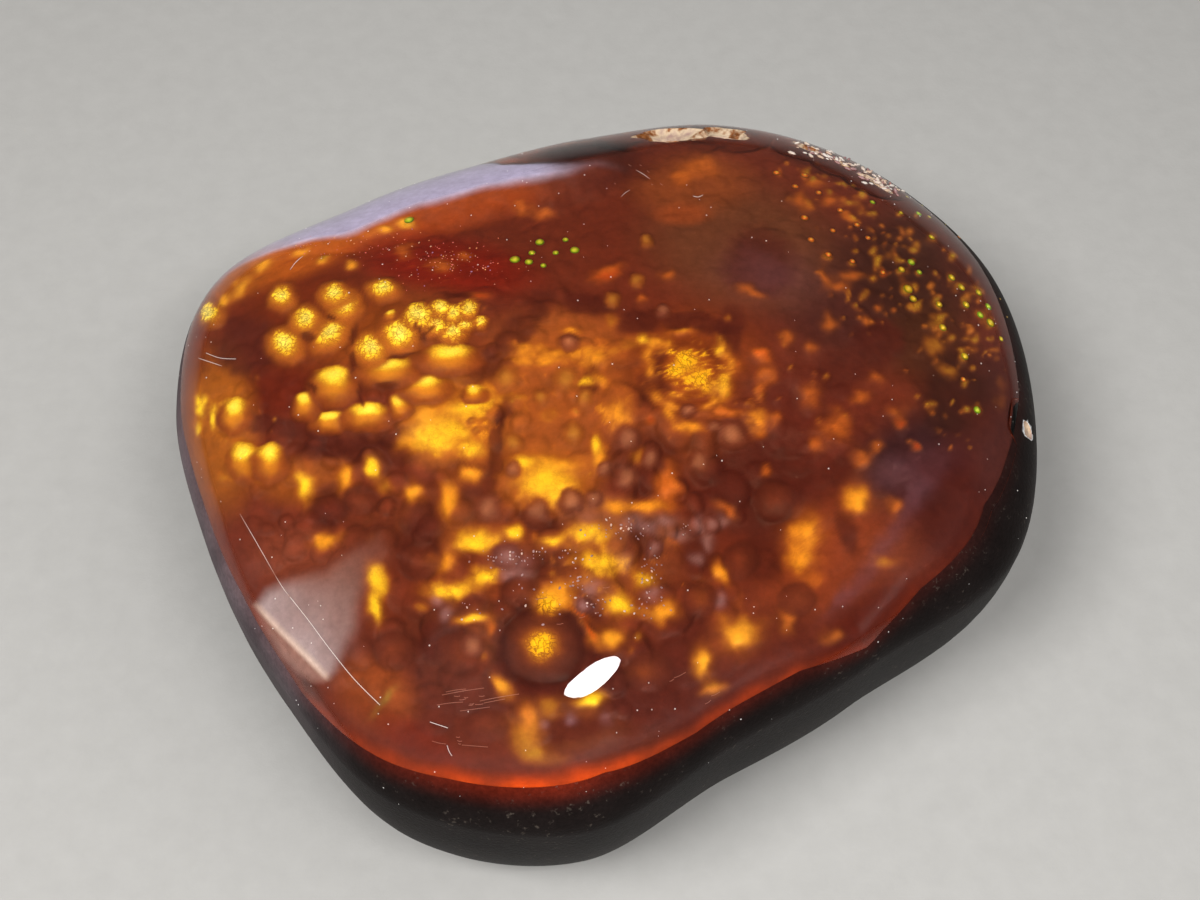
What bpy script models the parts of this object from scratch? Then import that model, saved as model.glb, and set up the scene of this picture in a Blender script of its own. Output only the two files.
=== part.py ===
"""Polished fire agate: one free-form stone with a domed top, a side that curves under and a flat ground base.

The stone is lofted from its plan outline, then the chipped places on its rim are cut away.
Everything is in metres with +Z up, and the origin is the middle of the base.
"""
import math

import bmesh
import bpy
from mathutils import Vector, noise

MM = 0.001

# Driving sizes of the polished stone, in millimetres
WIDTH = 34.0            # across the outline, left to right
HEIGHT = 14.0           # base to the top of the dome
WIDEST_HEIGHT = 8.0     # where the side is widest, before it curves under
BASE_SHARE = 0.74       # the flat base against the outline
DOME_FULLNESS = 1.9     # 2 is an ellipse, more is squarer
SIDE_FULLNESS = 2.4

# Reach from the middle to the outline, anticlockwise from +X, one every 22.5 degrees
OUTLINE_REACHES = (17.7, 18.1, 17.1, 15.7, 13.9, 13.1, 14.0, 16.4, 16.0, 15.3, 15.6, 17.1, 17.0, 14.7, 15.0, 17.4)

# Hand polishing leaves the surface gently uneven
UNEVEN_DEPTH = 0.30
UNEVEN_SPAN = 9.0
UNEVEN_STARTS_AT = 3.0  # height over which the unevenness grows from nothing at the base

SEGMENTS = 112
SIDE_RINGS = 11
DOME_RINGS = 20

# Broken places on the rim: middle, half sizes and turn about +Z in degrees
CHIPS = (
    ("long_chip", (2.8, 13.7, 11.35), (2.0, 1.15, 0.8), -3.0),
    ("end_chip", (5.1, 13.9, 11.2), (1.4, 1.0, 0.7), -8.0),
    ("crust_a", (8.5, 13.1, 11.0), (0.95, 0.45, 0.5), -30.0),
    ("crust_b", (9.9, 12.2, 11.0), (0.9, 0.4, 0.45), -38.0),
    ("crust_c", (11.3, 11.2, 10.8), (0.95, 0.4, 0.45), -42.0),
    ("side_chip", (16.4, -0.3, 9.6), (0.4, 0.6, 0.55), 5.0),
)
CHIP_ROUGHNESS = 0.28   # how far a break's surface strays, against its size

STONE_COLOUR = (0.17, 0.045, 0.014, 1.0)
STONE_ROUGHNESS = 0.16


def clear_scene():
    for item in list(bpy.data.objects):
        bpy.data.objects.remove(item, do_unlink=True)


def smooth_between(before, start, end, after, share):
    """Curve through start and end, shaped by the point on each side of them."""
    rise = (end - before) / 2
    leave = (after - start) / 2
    square = share * share
    cube = square * share
    return (
        (2 * cube - 3 * square + 1) * start
        + (cube - 2 * square + share) * rise
        + (3 * square - 2 * cube) * end
        + (cube - square) * leave
    )


def outline_point(share):
    """Point of the outline, share of the way round it from +X."""
    count = len(OUTLINE_REACHES)
    place = share * count
    first = int(place)
    nearby = []
    for step in (-1, 0, 1, 2):
        index = (first + step) % count
        turn = math.tau * index / count
        nearby.append(Vector((math.cos(turn), math.sin(turn), 0.0)) * OUTLINE_REACHES[index])
    return smooth_between(*nearby, place - first)


def profile():
    """Share of the outline and height of each ring, from the base up to just under the top."""
    rings = []
    for index in range(SIDE_RINGS):
        angle = math.pi / 2 * (1 - index / SIDE_RINGS)
        reach = math.cos(angle) ** (2 / SIDE_FULLNESS)
        drop = math.sin(angle) ** (2 / SIDE_FULLNESS)
        rings.append((BASE_SHARE + (1 - BASE_SHARE) * reach, WIDEST_HEIGHT * (1 - drop)))
    for index in range(DOME_RINGS):
        angle = math.pi / 2 * index / DOME_RINGS
        reach = math.cos(angle) ** (2 / DOME_FULLNESS)
        climb = math.sin(angle) ** (2 / DOME_FULLNESS)
        rings.append((reach, WIDEST_HEIGHT + (HEIGHT - WIDEST_HEIGHT) * climb))
    return rings


def unevenness(point):
    grown = min(point.z / UNEVEN_STARTS_AT, 1.0)
    return noise.noise(point / UNEVEN_SPAN) * UNEVEN_DEPTH * grown


def surface_point(around, share, height):
    """Point of the surface: around is the share of the way round, share the reach against the outline."""
    flat = outline_point(around) * share
    point = flat + Vector((0.0, 0.0, height))
    outward = point.normalized()
    return point + outward * unevenness(point)


def loft_stone():
    """Closed mesh of the stone, in millimetres."""
    mesh = bmesh.new()
    rings = []
    for share, height in profile():
        steps = [step / SEGMENTS for step in range(SEGMENTS)]
        rings.append([mesh.verts.new(surface_point(around, share, height)) for around in steps])
    for lower, upper in zip(rings, rings[1:]):
        for step in range(SEGMENTS):
            after = (step + 1) % SEGMENTS
            mesh.faces.new((lower[step], lower[after], upper[after], upper[step]))
    mesh.faces.new(list(reversed(rings[0])))
    top = mesh.verts.new(surface_point(0.0, 0.0, HEIGHT))
    for step in range(SEGMENTS):
        mesh.faces.new((rings[-1][step], rings[-1][(step + 1) % SEGMENTS], top))
    return mesh


def stand_on_origin(mesh):
    """Scale to the stated width and put the middle of the base at the origin."""
    lows = [min(vert.co[axis] for vert in mesh.verts) for axis in range(3)]
    highs = [max(vert.co[axis] for vert in mesh.verts) for axis in range(3)]
    middle = Vector(((lows[0] + highs[0]) / 2, (lows[1] + highs[1]) / 2, lows[2]))
    scale = MM * WIDTH / (highs[0] - lows[0])
    for vert in mesh.verts:
        vert.co = (vert.co - middle) * scale


def make_object(name, mesh):
    data = bpy.data.meshes.new(name)
    mesh.to_mesh(data)
    mesh.free()
    result = bpy.data.objects.new(name, data)
    bpy.context.collection.objects.link(result)
    return result


def stone_material():
    material = bpy.data.materials.new("polished_chalcedony")
    material.use_nodes = True
    shader = material.node_tree.nodes["Principled BSDF"]
    shader.inputs["Base Color"].default_value = STONE_COLOUR
    shader.inputs["Roughness"].default_value = STONE_ROUGHNESS
    shader.inputs["Metallic"].default_value = 0.0
    return material


def add_chip(stone, name, middle, half_sizes, turn):
    """Break a rough lump out of the stone's rim."""
    mesh = bmesh.new()
    bmesh.ops.create_icosphere(mesh, subdivisions=3, radius=1.0)
    for vert in mesh.verts:
        shift = noise.noise(vert.co * 1.7 + Vector(middle))
        vert.co *= 1.0 + shift * CHIP_ROUGHNESS
        vert.co = Vector([vert.co[axis] * half_sizes[axis] * MM for axis in range(3)])
    cutter = make_object(name, mesh)
    cutter.location = Vector(middle) * MM
    cutter.rotation_euler.z = math.radians(turn)
    cutter.hide_render = True
    cutter.display_type = "WIRE"
    cut = stone.modifiers.new(name, "BOOLEAN")
    cut.operation = "DIFFERENCE"
    cut.solver = "EXACT"
    cut.object = cutter


def build_stone():
    mesh = loft_stone()
    stand_on_origin(mesh)
    stone = make_object("fire_agate", mesh)
    stone.data.shade_smooth()
    stone.data.set_sharp_from_angle(angle=math.radians(35))
    stone.data.materials.append(stone_material())
    for name, middle, half_sizes, turn in CHIPS:
        add_chip(stone, name, middle, half_sizes, turn)
    return stone


clear_scene()
build_stone()
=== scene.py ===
import math
import random

import bmesh
import bpy
import numpy as np
from mathutils import Matrix, Vector, noise
from mathutils.bvhtree import BVHTree


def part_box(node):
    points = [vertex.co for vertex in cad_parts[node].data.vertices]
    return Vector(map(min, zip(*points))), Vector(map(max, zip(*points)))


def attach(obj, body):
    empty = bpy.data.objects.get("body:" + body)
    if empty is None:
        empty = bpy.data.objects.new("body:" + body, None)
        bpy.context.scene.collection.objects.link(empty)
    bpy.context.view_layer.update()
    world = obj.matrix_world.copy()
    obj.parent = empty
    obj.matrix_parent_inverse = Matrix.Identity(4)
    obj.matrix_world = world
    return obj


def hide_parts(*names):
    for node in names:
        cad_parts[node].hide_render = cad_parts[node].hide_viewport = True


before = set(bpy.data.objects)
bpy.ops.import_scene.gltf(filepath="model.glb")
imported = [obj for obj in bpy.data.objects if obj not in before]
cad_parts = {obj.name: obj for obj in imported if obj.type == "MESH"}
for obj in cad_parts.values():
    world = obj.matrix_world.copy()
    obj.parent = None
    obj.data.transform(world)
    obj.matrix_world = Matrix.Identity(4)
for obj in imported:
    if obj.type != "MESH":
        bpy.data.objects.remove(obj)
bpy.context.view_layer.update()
mm = 0.001


# a socket that does sums, and a tree that makes every node by one method
class Wire:
    def __init__(self, web, socket):
        self.web = web
        self.socket = socket

    def reckon(self, operation, left, right):
        return self.web.node("ShaderNodeMath", {"operation": operation}, {0: left, 1: right})

    def __add__(self, other):
        return self.reckon("ADD", self, other)

    def __radd__(self, other):
        return self.reckon("ADD", other, self)

    def __sub__(self, other):
        return self.reckon("SUBTRACT", self, other)

    def __rsub__(self, other):
        return self.reckon("SUBTRACT", other, self)

    def __mul__(self, other):
        return self.reckon("MULTIPLY", self, other)

    def __rmul__(self, other):
        return self.reckon("MULTIPLY", other, self)


class Web:
    def __init__(self, tree):
        self.tree = tree

    def node(self, kind, settings=None, inputs=None, output=0):
        made = self.tree.nodes.new(kind)
        for name, value in (settings or {}).items():
            if name == "stops":
                self.setStops(made.color_ramp, value)
            else:
                setattr(made, name, value)
        for key, value in (inputs or {}).items():
            socket = made.inputs[key]
            if isinstance(value, Wire):
                self.tree.links.new(value.socket, socket)
            else:
                socket.default_value = value
        return Wire(self, made.outputs[output]) if len(made.outputs) else None

    def setStops(self, ramp, stops):
        while len(ramp.elements) > 1:
            ramp.elements.remove(ramp.elements[-1])
        ramp.elements[0].position, ramp.elements[0].color = stops[0]
        for position, colour in stops[1:]:
            ramp.elements.new(position).color = colour

    def blend(self, factor, first, second):
        return self.node("ShaderNodeMix", {"data_type": "RGBA"}, {0: factor, 6: first, 7: second}, 2)

    def mixed(self, factor, first, second):
        return self.node("ShaderNodeMix", {"data_type": "FLOAT"}, {0: factor, 2: first, 3: second})

    def scaled(self, colour, share):
        return self.node("ShaderNodeVectorMath", {"operation": "SCALE"}, {0: colour, "Scale": share})

    def ranged(self, value, low, high, least=0.0, most=1.0, curve="LINEAR"):
        inputs = {0: value, 1: low, 2: high, 3: least, 4: most}
        return self.node("ShaderNodeMapRange", {"interpolation_type": curve}, inputs)

    def between(self, value, low, high):
        return self.ranged(value, low, high, curve="SMOOTHSTEP")

    def field(self, name, output="Fac"):
        return self.node("ShaderNodeAttribute", {"attribute_name": name}, None, output)

    def place(self):
        return self.node("ShaderNodeTexCoord", None, None, "Object")

    def speckle(self, perMetre, detail=4.0, roughness=0.55, output="Fac"):
        inputs = {"Vector": self.place(), "Scale": perMetre, "Detail": detail, "Roughness": roughness}
        return self.node("ShaderNodeTexNoise", None, inputs, output)

    def bumped(self, height, strength, distance):
        inputs = {"Strength": strength, "Distance": distance, "Height": height}
        return self.node("ShaderNodeBump", None, inputs)

    def principled(self, colour, roughness, more=None):
        inputs = {"Base Color": colour, "Roughness": roughness, **(more or {})}
        return self.node("ShaderNodeBsdfPrincipled", None, inputs)


# paint(web) gives the finish: its surface and, where there is one, its volume
def newMaterial(name, paint):
    material = bpy.data.materials.new(name)
    material.use_nodes = True
    material.node_tree.nodes.clear()
    web = Web(material.node_tree)
    web.node("ShaderNodeOutputMaterial", None, paint(web))
    return material


def tone(red, green, blue):
    parts = [value / 255 for value in (red, green, blue)]
    parts = [part / 12.92 if part <= 0.04045 else ((part + 0.055) / 1.055) ** 2.4 for part in parts]
    return (parts[0], parts[1], parts[2], 1.0)


def linear(colour):
    return np.array(tone(*colour)[:3])


def toward(colours, colour, share):
    return colours + (linear(colour) - colours) * np.asarray(share)[:, None]


# the camera: sizes in millimetres, and the frame that places below are given in
view = {"elevation": 58.0, "lens": 50.0, "sensor": 36.0, "aim": (-0.19, 4.70, 0.0), "distance": 74.35,
        "frameWide": 1200, "frameHigh": 900, "nearest": 1.0, "furthest": 5000.0}

lean = math.radians(view["elevation"])
ahead = np.array((0.0, math.cos(lean), -math.sin(lean)))
upward = np.array((0.0, math.sin(lean), math.cos(lean)))
eye = np.array(view["aim"]) - ahead * view["distance"]
focal = view["lens"] / view["sensor"] * view["frameWide"]

cameraData = bpy.data.cameras.new("stoneCamera")
cameraData.lens = view["lens"]
cameraData.sensor_width = view["sensor"]
cameraData.clip_start = view["nearest"] * mm
cameraData.clip_end = view["furthest"] * mm
camera = bpy.data.objects.new("stoneCamera", cameraData)
camera.location = Vector(eye) * mm
camera.rotation_euler = (math.radians(90.0 - view["elevation"]), 0.0, 0.0)
bpy.context.scene.collection.objects.link(camera)
bpy.context.scene.camera = camera
bpy.context.scene.view_settings.view_transform = "Standard"


def framePlace(points):
    away = points - eye
    depth = away @ ahead
    return np.stack((view["frameWide"] / 2 + focal * away[:, 0] / depth,
                     view["frameHigh"] / 2 - focal * (away @ upward) / depth), axis=1)


def frameRay(x, y):
    ray = ahead + np.array((1.0, 0.0, 0.0)) * (x - view["frameWide"] / 2) / focal
    ray = ray - upward * (y - view["frameHigh"] / 2) / focal
    return ray / np.linalg.norm(ray)


# the stone's own form, in millimetres, with the driving sizes of the solid
stone = {"height": 14.0, "widestHeight": 8.0, "baseShare": 0.74, "domeFullness": 1.9,
         "sideFullness": 2.4, "unevenDepth": 0.30, "unevenSpan": 9.0, "unevenStartsAt": 3.0,
         "reaches": (17.7, 18.1, 17.1, 15.7, 13.9, 13.1, 14.0, 16.4, 16.0, 15.3, 15.6, 17.1, 17.0, 14.7,
                     15.0, 17.4),
         "cells": 168, "sideRings": 16, "lineRings": 14, "baseRings": (0.8, 0.6, 0.4, 0.2),
         "insideOfBox": 0.9994, "light": 1.54, "sharpAngle": 35.0}

# breaks on the rim: middle, half sizes and turn
chips = {"rough": 0.28, "roughScale": 1.7, "fine": 0.09, "fineScale": 6.0, "around": 0.35, "under": 0.3,
         "places": (
    ((2.8, 13.7, 11.35), (2.0, 1.15, 0.8), -3.0),
    ((5.1, 13.9, 11.2), (1.4, 1.0, 0.7), -8.0),
    ((8.5, 13.1, 11.0), (0.95, 0.45, 0.5), -30.0),
    ((9.9, 12.2, 11.0), (0.9, 0.4, 0.45), -38.0),
    ((11.3, 11.2, 10.8), (0.95, 0.4, 0.45), -42.0),
    ((16.4, -0.3, 9.6), (0.4, 0.6, 0.55), 5.0))}

# heights round the stone by degrees from +X: the line where it turns clear, and the milky strip's two edges
glowLine = {0: 9.7, 40: 9.6, 66: 9.5, 80: 8.4, 150: 8.3, 168: 9.0, 190: 9.3, 214: 9.3, 231: 9.0, 244: 9.5,
            254: 9.8, 273: 10.1, 286: 9.7, 303: 9.7, 314: 9.2, 324: 10.0, 340: 10.5, 349: 10.2}
stripEdge = {80: 12.0, 88: 12.05, 92: 12.1, 96: 12.15, 100: 12.15, 104: 12.1, 108: 12.0, 112: 11.95,
             123: 11.9, 134: 11.7, 146: 11.55, 151: 10.9, 158: 9.8}
stripFoot = {80: 11.9, 88: 11.9, 92: 11.85, 96: 11.75, 100: 11.55, 104: 11.35, 108: 11.0, 112: 9.8,
             116: 9.3, 122: 8.9, 135: 8.7, 158: 8.8}

# how strongly the rim line is painted with a red glow, as colour and a little emission, by the same degrees
glowPaintByAngle = {0: 0.0, 90: 0.03, 200: 0.03, 228: 0.08, 240: 0.24, 250: 0.5, 259: 0.9, 267: 0.95, 275: 0.6,
             290: 0.34, 303: 0.26, 320: 0.1, 335: 0.02}


def roundStone(table, turns):
    places = sorted(table)
    return np.interp(np.degrees(turns) % 360, places, [table[place] for place in places], period=360)


def smoothed(value, low, high):
    share = np.clip((value - low) / (high - low), 0.0, 1.0)
    return share * share * (3 - 2 * share)


def within(value, full, gone):
    return 1 - smoothed(value, full, gone)


def noiseOver(points, span, kind=noise.noise):
    return np.array([kind(Vector(point) / span) for point in points])


def curveThrough(before, start, end, after, share):
    leave, arrive = (end - before) / 2, (after - start) / 2
    return ((2 * share ** 3 - 3 * share ** 2 + 1) * start + (share ** 3 - 2 * share ** 2 + share) * leave
            + (3 * share ** 2 - 2 * share ** 3) * end + (share ** 3 - share ** 2) * arrive)


def outlineAt(turns):
    reaches = stone["reaches"]
    count = len(reaches)
    corners = np.array([(reach * math.cos(math.tau * i / count), reach * math.sin(math.tau * i / count))
                        for i, reach in enumerate(reaches)])
    along = (turns / math.tau % 1.0) * count
    first = np.floor(along).astype(int)
    nearby = [corners[(first + shift) % count] for shift in (-1, 0, 1, 2)]
    return curveThrough(*nearby, (along - first)[:, None])


def loftPoints(turns, shares, heights):
    flat = outlineAt(turns) * shares[:, None]
    points = np.column_stack((flat, heights))
    far = np.linalg.norm(points, axis=1)
    rise = noiseOver(points, stone["unevenSpan"])
    rise = rise * stone["unevenDepth"] * np.minimum(points[:, 2] / stone["unevenStartsAt"], 1.0)
    return points * (1 + rise / np.maximum(far, 1e-6))[:, None]


def rimAngle(heights):
    climb = (heights - stone["widestHeight"]) / (stone["height"] - stone["widestHeight"])
    return np.arcsin(np.clip(climb, 0.0, 1.0) ** (stone["domeFullness"] / 2))


# square cells drawn over the dome, so that no point is crowded, with outer rings along the glow line
def domeGrid(cells, lineRings, startBelow):
    line = np.linspace(-1.0, 1.0, cells + 1)
    across, deep = (part.ravel() for part in np.meshgrid(line, line))
    ring = np.maximum(np.abs(across), np.abs(deep))
    wide = np.abs(across) > np.abs(deep)
    with np.errstate(divide="ignore", invalid="ignore"):
        turns = np.where(wide, math.pi / 4 * deep / across, math.pi / 2 - math.pi / 4 * across / deep)
    turns = np.nan_to_num(turns + np.where(np.where(wide, across, deep) < 0, math.pi, 0.0))
    rings = (1 - ring) * cells / 2
    onLine = rimAngle(roundStone(glowLine, turns))
    first = rimAngle(roundStone(glowLine, turns) - startBelow)
    below = first + (onLine - first) * rings / lineRings
    above = onLine + (math.pi / 2 - onLine) * (rings - lineRings) / (cells / 2 - lineRings)
    fromRim = np.where(rings < lineRings, below, above)
    shares = np.maximum(np.cos(fromRim), 0.0) ** (2 / stone["domeFullness"])
    climb = np.maximum(np.sin(fromRim), 0.0) ** (2 / stone["domeFullness"])
    heights = stone["widestHeight"] + (stone["height"] - stone["widestHeight"]) * climb
    rows = cells + 1
    border = [corner + i * step for corner, step in ((0, 1), (cells, rows), (cells * rows + cells, -1),
                                                     (cells * rows, -rows)) for i in range(cells)]
    faces = [(j * rows + i, j * rows + i + 1, (j + 1) * rows + i + 1, (j + 1) * rows + i)
             for j in range(cells) for i in range(cells)]
    outer = [min(rings[list(face)]) < lineRings - 0.5 for face in faces]
    return {"turns": turns, "shares": shares, "heights": heights, "faces": faces, "border": border,
            "outer": outer}


# lowerRings: the share of the outline and the height of each ring under the grid's border
def closedForm(grid, lowerRings):
    aroundTurns = grid["turns"][grid["border"]]
    around = len(grid["border"])
    turns, shares, heights = [grid["turns"]], [grid["shares"]], [grid["heights"]]
    faces, outer = list(grid["faces"]), list(grid["outer"])
    upper, start = grid["border"], len(grid["turns"])
    for share, height in lowerRings:
        turns.append(aroundTurns)
        shares.append(np.zeros(around) + share)
        heights.append(np.zeros(around) + height)
        lower = list(range(start, start + around))
        faces += [(upper[i], lower[i], lower[(i + 1) % around], upper[(i + 1) % around])
                  for i in range(around)]
        upper = lower
        start += around
    turns.append(np.zeros(1))
    shares.append(np.zeros(1))
    heights.append(heights[-1][:1])
    faces += [(upper[i], start, upper[(i + 1) % around]) for i in range(around)]
    outer += [True] * (len(faces) - len(outer))
    turns, shares, heights = np.concatenate(turns), np.concatenate(shares), np.concatenate(heights)
    return loftPoints(turns, shares, heights), turns, heights, faces, outer


def sideRings(count):
    rings = []
    for i in range(1, count + 1):
        down = math.pi / 2 * i / count
        reach = max(math.cos(down), 0.0) ** (2 / stone["sideFullness"])
        rings.append((stone["baseShare"] + (1 - stone["baseShare"]) * reach,
                      stone["widestHeight"] * (1 - math.sin(down) ** (2 / stone["sideFullness"]))))
    return rings + [(stone["baseShare"] * inner, 0.0) for inner in stone["baseRings"]]


# the scale and shift that bring the whole form just inside the solid's box
def fitted(points, like):
    low, high = like.min(axis=0), like.max(axis=0)
    boxLow, boxHigh = (np.array(corner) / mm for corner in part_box("fire_agate"))
    scale = stone["insideOfBox"] * (boxHigh[0] - boxLow[0]) / (high[0] - low[0])
    middle = (low + high) / 2
    shift = (boxLow + boxHigh) / 2 - middle * scale
    shift[2] = boxLow[2] - low[2] * scale
    return points * scale + shift


def meshNormals(points, faces):
    normals = np.zeros_like(points)
    for size, other in ((3, 0), (4, 1)):
        group = np.array([face for face in faces if len(face) == size])
        if not len(group):
            continue
        corners = points[group]
        spread = np.cross(corners[:, size - 2] - corners[:, 0], corners[:, size - 1] - corners[:, other])
        for corner in range(size):
            np.add.at(normals, group[:, corner], spread)
    return normals / np.linalg.norm(normals, axis=1)[:, None]


def newPiece(name, points, edges=(), faces=(), material=None, smooth=True):
    mesh = bpy.data.meshes.new(name)
    mesh.from_pydata([tuple(point) for point in np.asarray(points) * mm], edges, faces)
    if material:
        mesh.materials.append(material)
    piece = bpy.data.objects.new(name, mesh)
    bpy.context.scene.collection.objects.link(piece)
    if faces and smooth:
        mesh.shade_smooth()
    return piece


# a colour of three parts gets its fourth here
def storeField(mesh, name, kind, values):
    values = np.asarray(values, dtype=np.float32)
    if kind == "FLOAT_COLOR" and values.shape[1] == 3:
        values = np.column_stack((values, np.ones(len(values), dtype=np.float32)))
    key = {"FLOAT": "value", "FLOAT_COLOR": "color", "FLOAT_VECTOR": "vector"}[kind]
    mesh.attributes.new(name, kind, "POINT").data.foreach_set(key, values.ravel())


def applied(piece):
    ready = piece.evaluated_get(bpy.context.evaluated_depsgraph_get())
    mesh = bpy.data.meshes.new_from_object(ready)
    piece.modifiers.clear()
    old = piece.data
    piece.data = mesh
    bpy.data.meshes.remove(old)
    mesh.name = piece.name
    return piece


# finish of the clear stone: scales are per metre
clear = {"roughness": 0.015, "shine": 0.3, "density": 330.0, "absorbed": tone(242, 217, 170),
         "waveScale": 260.0, "waveStrength": 0.1, "waveDepth": 0.00005}


def clearFinish(web):
    normal = web.bumped(web.speckle(clear["waveScale"], 2.0), clear["waveStrength"], clear["waveDepth"])
    white = (1.0, 1.0, 1.0, 1.0)
    glass = web.principled(white, clear["roughness"], {
        "IOR": stone["light"], "Transmission Weight": 1.0, "Specular IOR Level": clear["shine"],
        "Normal": normal})
    through = web.node("ShaderNodeBsdfTransparent", None, {"Color": white})
    shadow = web.node("ShaderNodeLightPath", None, None, "Is Shadow Ray")
    surface = web.node("ShaderNodeMixShader", None, {0: shadow, 1: glass, 2: through})
    volume = web.node("ShaderNodeVolumeAbsorption", None,
                      {"Color": clear["absorbed"], "Density": clear["density"]})
    return {"Surface": surface, "Volume": volume}


# finish of the dark side, with what reddens or greys it by place: the red just under the rim line is a
# painted glow
side = {"colour": (25, 19, 18), "mauve": (104, 90, 94), "mauveShare": 0.85, "base": (40, 30, 27),
        "sideGlowPaint": (138, 38, 12), "sideGlowEverywhere": 0.05, "sideGlowShare": 0.5, "cloudScale": 420.0,
        "grainScale": 6500.0, "fleckScale": 3800.0, "fleck": tone(132, 120, 108), "fleckShare": 0.28,
        "roughness": 0.42, "rougher": 0.16, "shine": 0.05, "bump": 0.5, "bumpDepth": 0.00004}


def sideFinish(web):
    clouds = web.speckle(side["cloudScale"], 4.0, 0.6)
    grain = web.speckle(side["grainScale"], 3.0, 0.65)
    shade = web.ranged(clouds, 0.3, 0.7, 0.65, 1.35) * web.ranged(grain, 0.3, 0.75, 0.8, 1.35)
    flecks = (web.between(web.speckle(side["fleckScale"], 3.0, 0.7), 0.6, 0.7)
              * web.between(clouds, 0.42, 0.62))
    colour = web.scaled(web.field("sideColour", "Color"), shade)
    colour = web.blend(flecks * side["fleckShare"], colour, side["fleck"])
    return {"Surface": web.principled(colour, side["roughness"] + side["rougher"] * grain, {
        "Specular IOR Level": side["shine"],
        "Normal": web.bumped(grain + flecks * 0.4, side["bump"], side["bumpDepth"])})}


# finish of the broken places: stops of colour along a coarse noise
breaks = {"coarseScale": 900.0, "fineScale": 5200.0, "facetScale": 1700.0, "cream": tone(226, 200, 168),
          "ochre": tone(150, 88, 40), "pink": tone(176, 142, 132), "brown": tone(70, 34, 20),
          "roughness": 0.7, "bump": 0.8, "bumpDepth": 0.0001}


def breakFinish(web):
    coarse = web.speckle(breaks["coarseScale"], 5.0, 0.65)
    fine = web.speckle(breaks["fineScale"], 4.0, 0.7)
    facets = web.node("ShaderNodeTexVoronoi", None, {"Vector": web.place(), "Scale": breaks["facetScale"]},
                      "Distance")
    stops = ((0.34, breaks["brown"]), (0.44, breaks["ochre"]), (0.52, breaks["cream"]),
             (0.66, breaks["pink"]), (0.78, breaks["cream"]))
    colour = web.node("ShaderNodeValToRGB", {"stops": stops}, {"Fac": coarse})
    colour = web.blend(web.between(fine, 0.5, 0.75) * 0.5, colour, breaks["cream"])
    normal = web.bumped(facets + fine * 0.5, breaks["bump"], breaks["bumpDepth"])
    return {"Surface": web.principled(colour, breaks["roughness"], {"Normal": normal})}


print("forming the clear stone")
shellGrid = domeGrid(stone["cells"], stone["lineRings"], stone["height"])
formPoints, clearTurns, clearHeights, clearFaces, clearOuter = closedForm(
    shellGrid, sideRings(stone["sideRings"]))
clearPoints = fitted(formPoints, formPoints)
clearStone = newPiece("clearStone", clearPoints, (), clearFaces,
                      newMaterial("polishedChalcedony", clearFinish))
clearStone.data.materials.append(newMaterial("darkSatinSide", sideFinish))
clearStone.data.polygons.foreach_set("material_index", [int(outer) for outer in clearOuter])

sideDegrees = np.degrees(clearTurns) % 360
fromLine = clearHeights - roundStone(glowLine, clearTurns)
mauveShare = (smoothed(sideDegrees, 160, 188) * within(sideDegrees, 214, 246)
              * smoothed(fromLine, -5.0, -0.3))
# painted glow: the rim line's red glow runs a little way down the side
sideGlowShare = side["sideGlowEverywhere"] + side["sideGlowShare"] * roundStone(glowPaintByAngle, clearTurns)
sideColour = np.tile(linear(side["colour"]), (len(clearPoints), 1))
sideColour = toward(sideColour, side["mauve"], mauveShare * side["mauveShare"])
sideColour = toward(sideColour, side["base"], within(clearPoints[:, 2], 0.02, 0.3))
sideColour = toward(sideColour, side["sideGlowPaint"], sideGlowShare * smoothed(fromLine, -1.0, 0.05) ** 2.5)
storeField(clearStone.data, "sideColour", "FLOAT_COLOR", sideColour)
stoneTree = BVHTree.FromPolygons([tuple(point) for point in clearPoints], clearFaces)


# the place and normal of the polish at a place in the frame, or two Nones beside the stone
def onStone(x, y):
    place, normal, number, far = stoneTree.ray_cast(Vector(eye), Vector(frameRay(x, y)))
    return (np.array(place), np.array(normal)) if place else (None, None)


def chipCutter(number, middle, halves, turn, material):
    cutter = bmesh.new()
    bmesh.ops.create_icosphere(cutter, subdivisions=4, radius=1.0)
    angle = math.radians(turn)
    for vert in cutter.verts:
        swell = noise.noise(vert.co * chips["roughScale"] + Vector(middle)) * chips["rough"]
        fine = noise.noise(vert.co * chips["fineScale"] + Vector(middle)) * chips["fine"]
        away = vert.co * (1 + swell + fine)
        x, y, z = (away[i] * halves[i] for i in range(3))
        vert.co = ((middle[0] + x * math.cos(angle) - y * math.sin(angle)) * mm,
                   (middle[1] + x * math.sin(angle) + y * math.cos(angle)) * mm, (middle[2] + z) * mm)
    mesh = bpy.data.meshes.new(f"cutter{number}")
    cutter.to_mesh(mesh)
    cutter.free()
    mesh.materials.append(material)
    piece = bpy.data.objects.new(mesh.name, mesh)
    bpy.context.scene.collection.objects.link(piece)
    return piece


brokenStone = newMaterial("brokenStone", breakFinish)
cutters = [chipCutter(i, *place, brokenStone) for i, place in enumerate(chips["places"])]
for cutter in cutters:
    cut = clearStone.modifiers.new(cutter.name, "BOOLEAN")
    cut.object = cutter
    cut.operation = "DIFFERENCE"
    cut.solver = "EXACT"
    cut.material_mode = "TRANSFER"
applied(clearStone)
for cutter in cutters:
    bpy.data.objects.remove(cutter)
clearStone.data.set_sharp_from_angle(angle=math.radians(stone["sharpAngle"]))
print("clear stone:", len(clearStone.data.polygons), "faces")

# places on the layer inside are (x, y, half width, half height, turn) in the camera's frame

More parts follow.
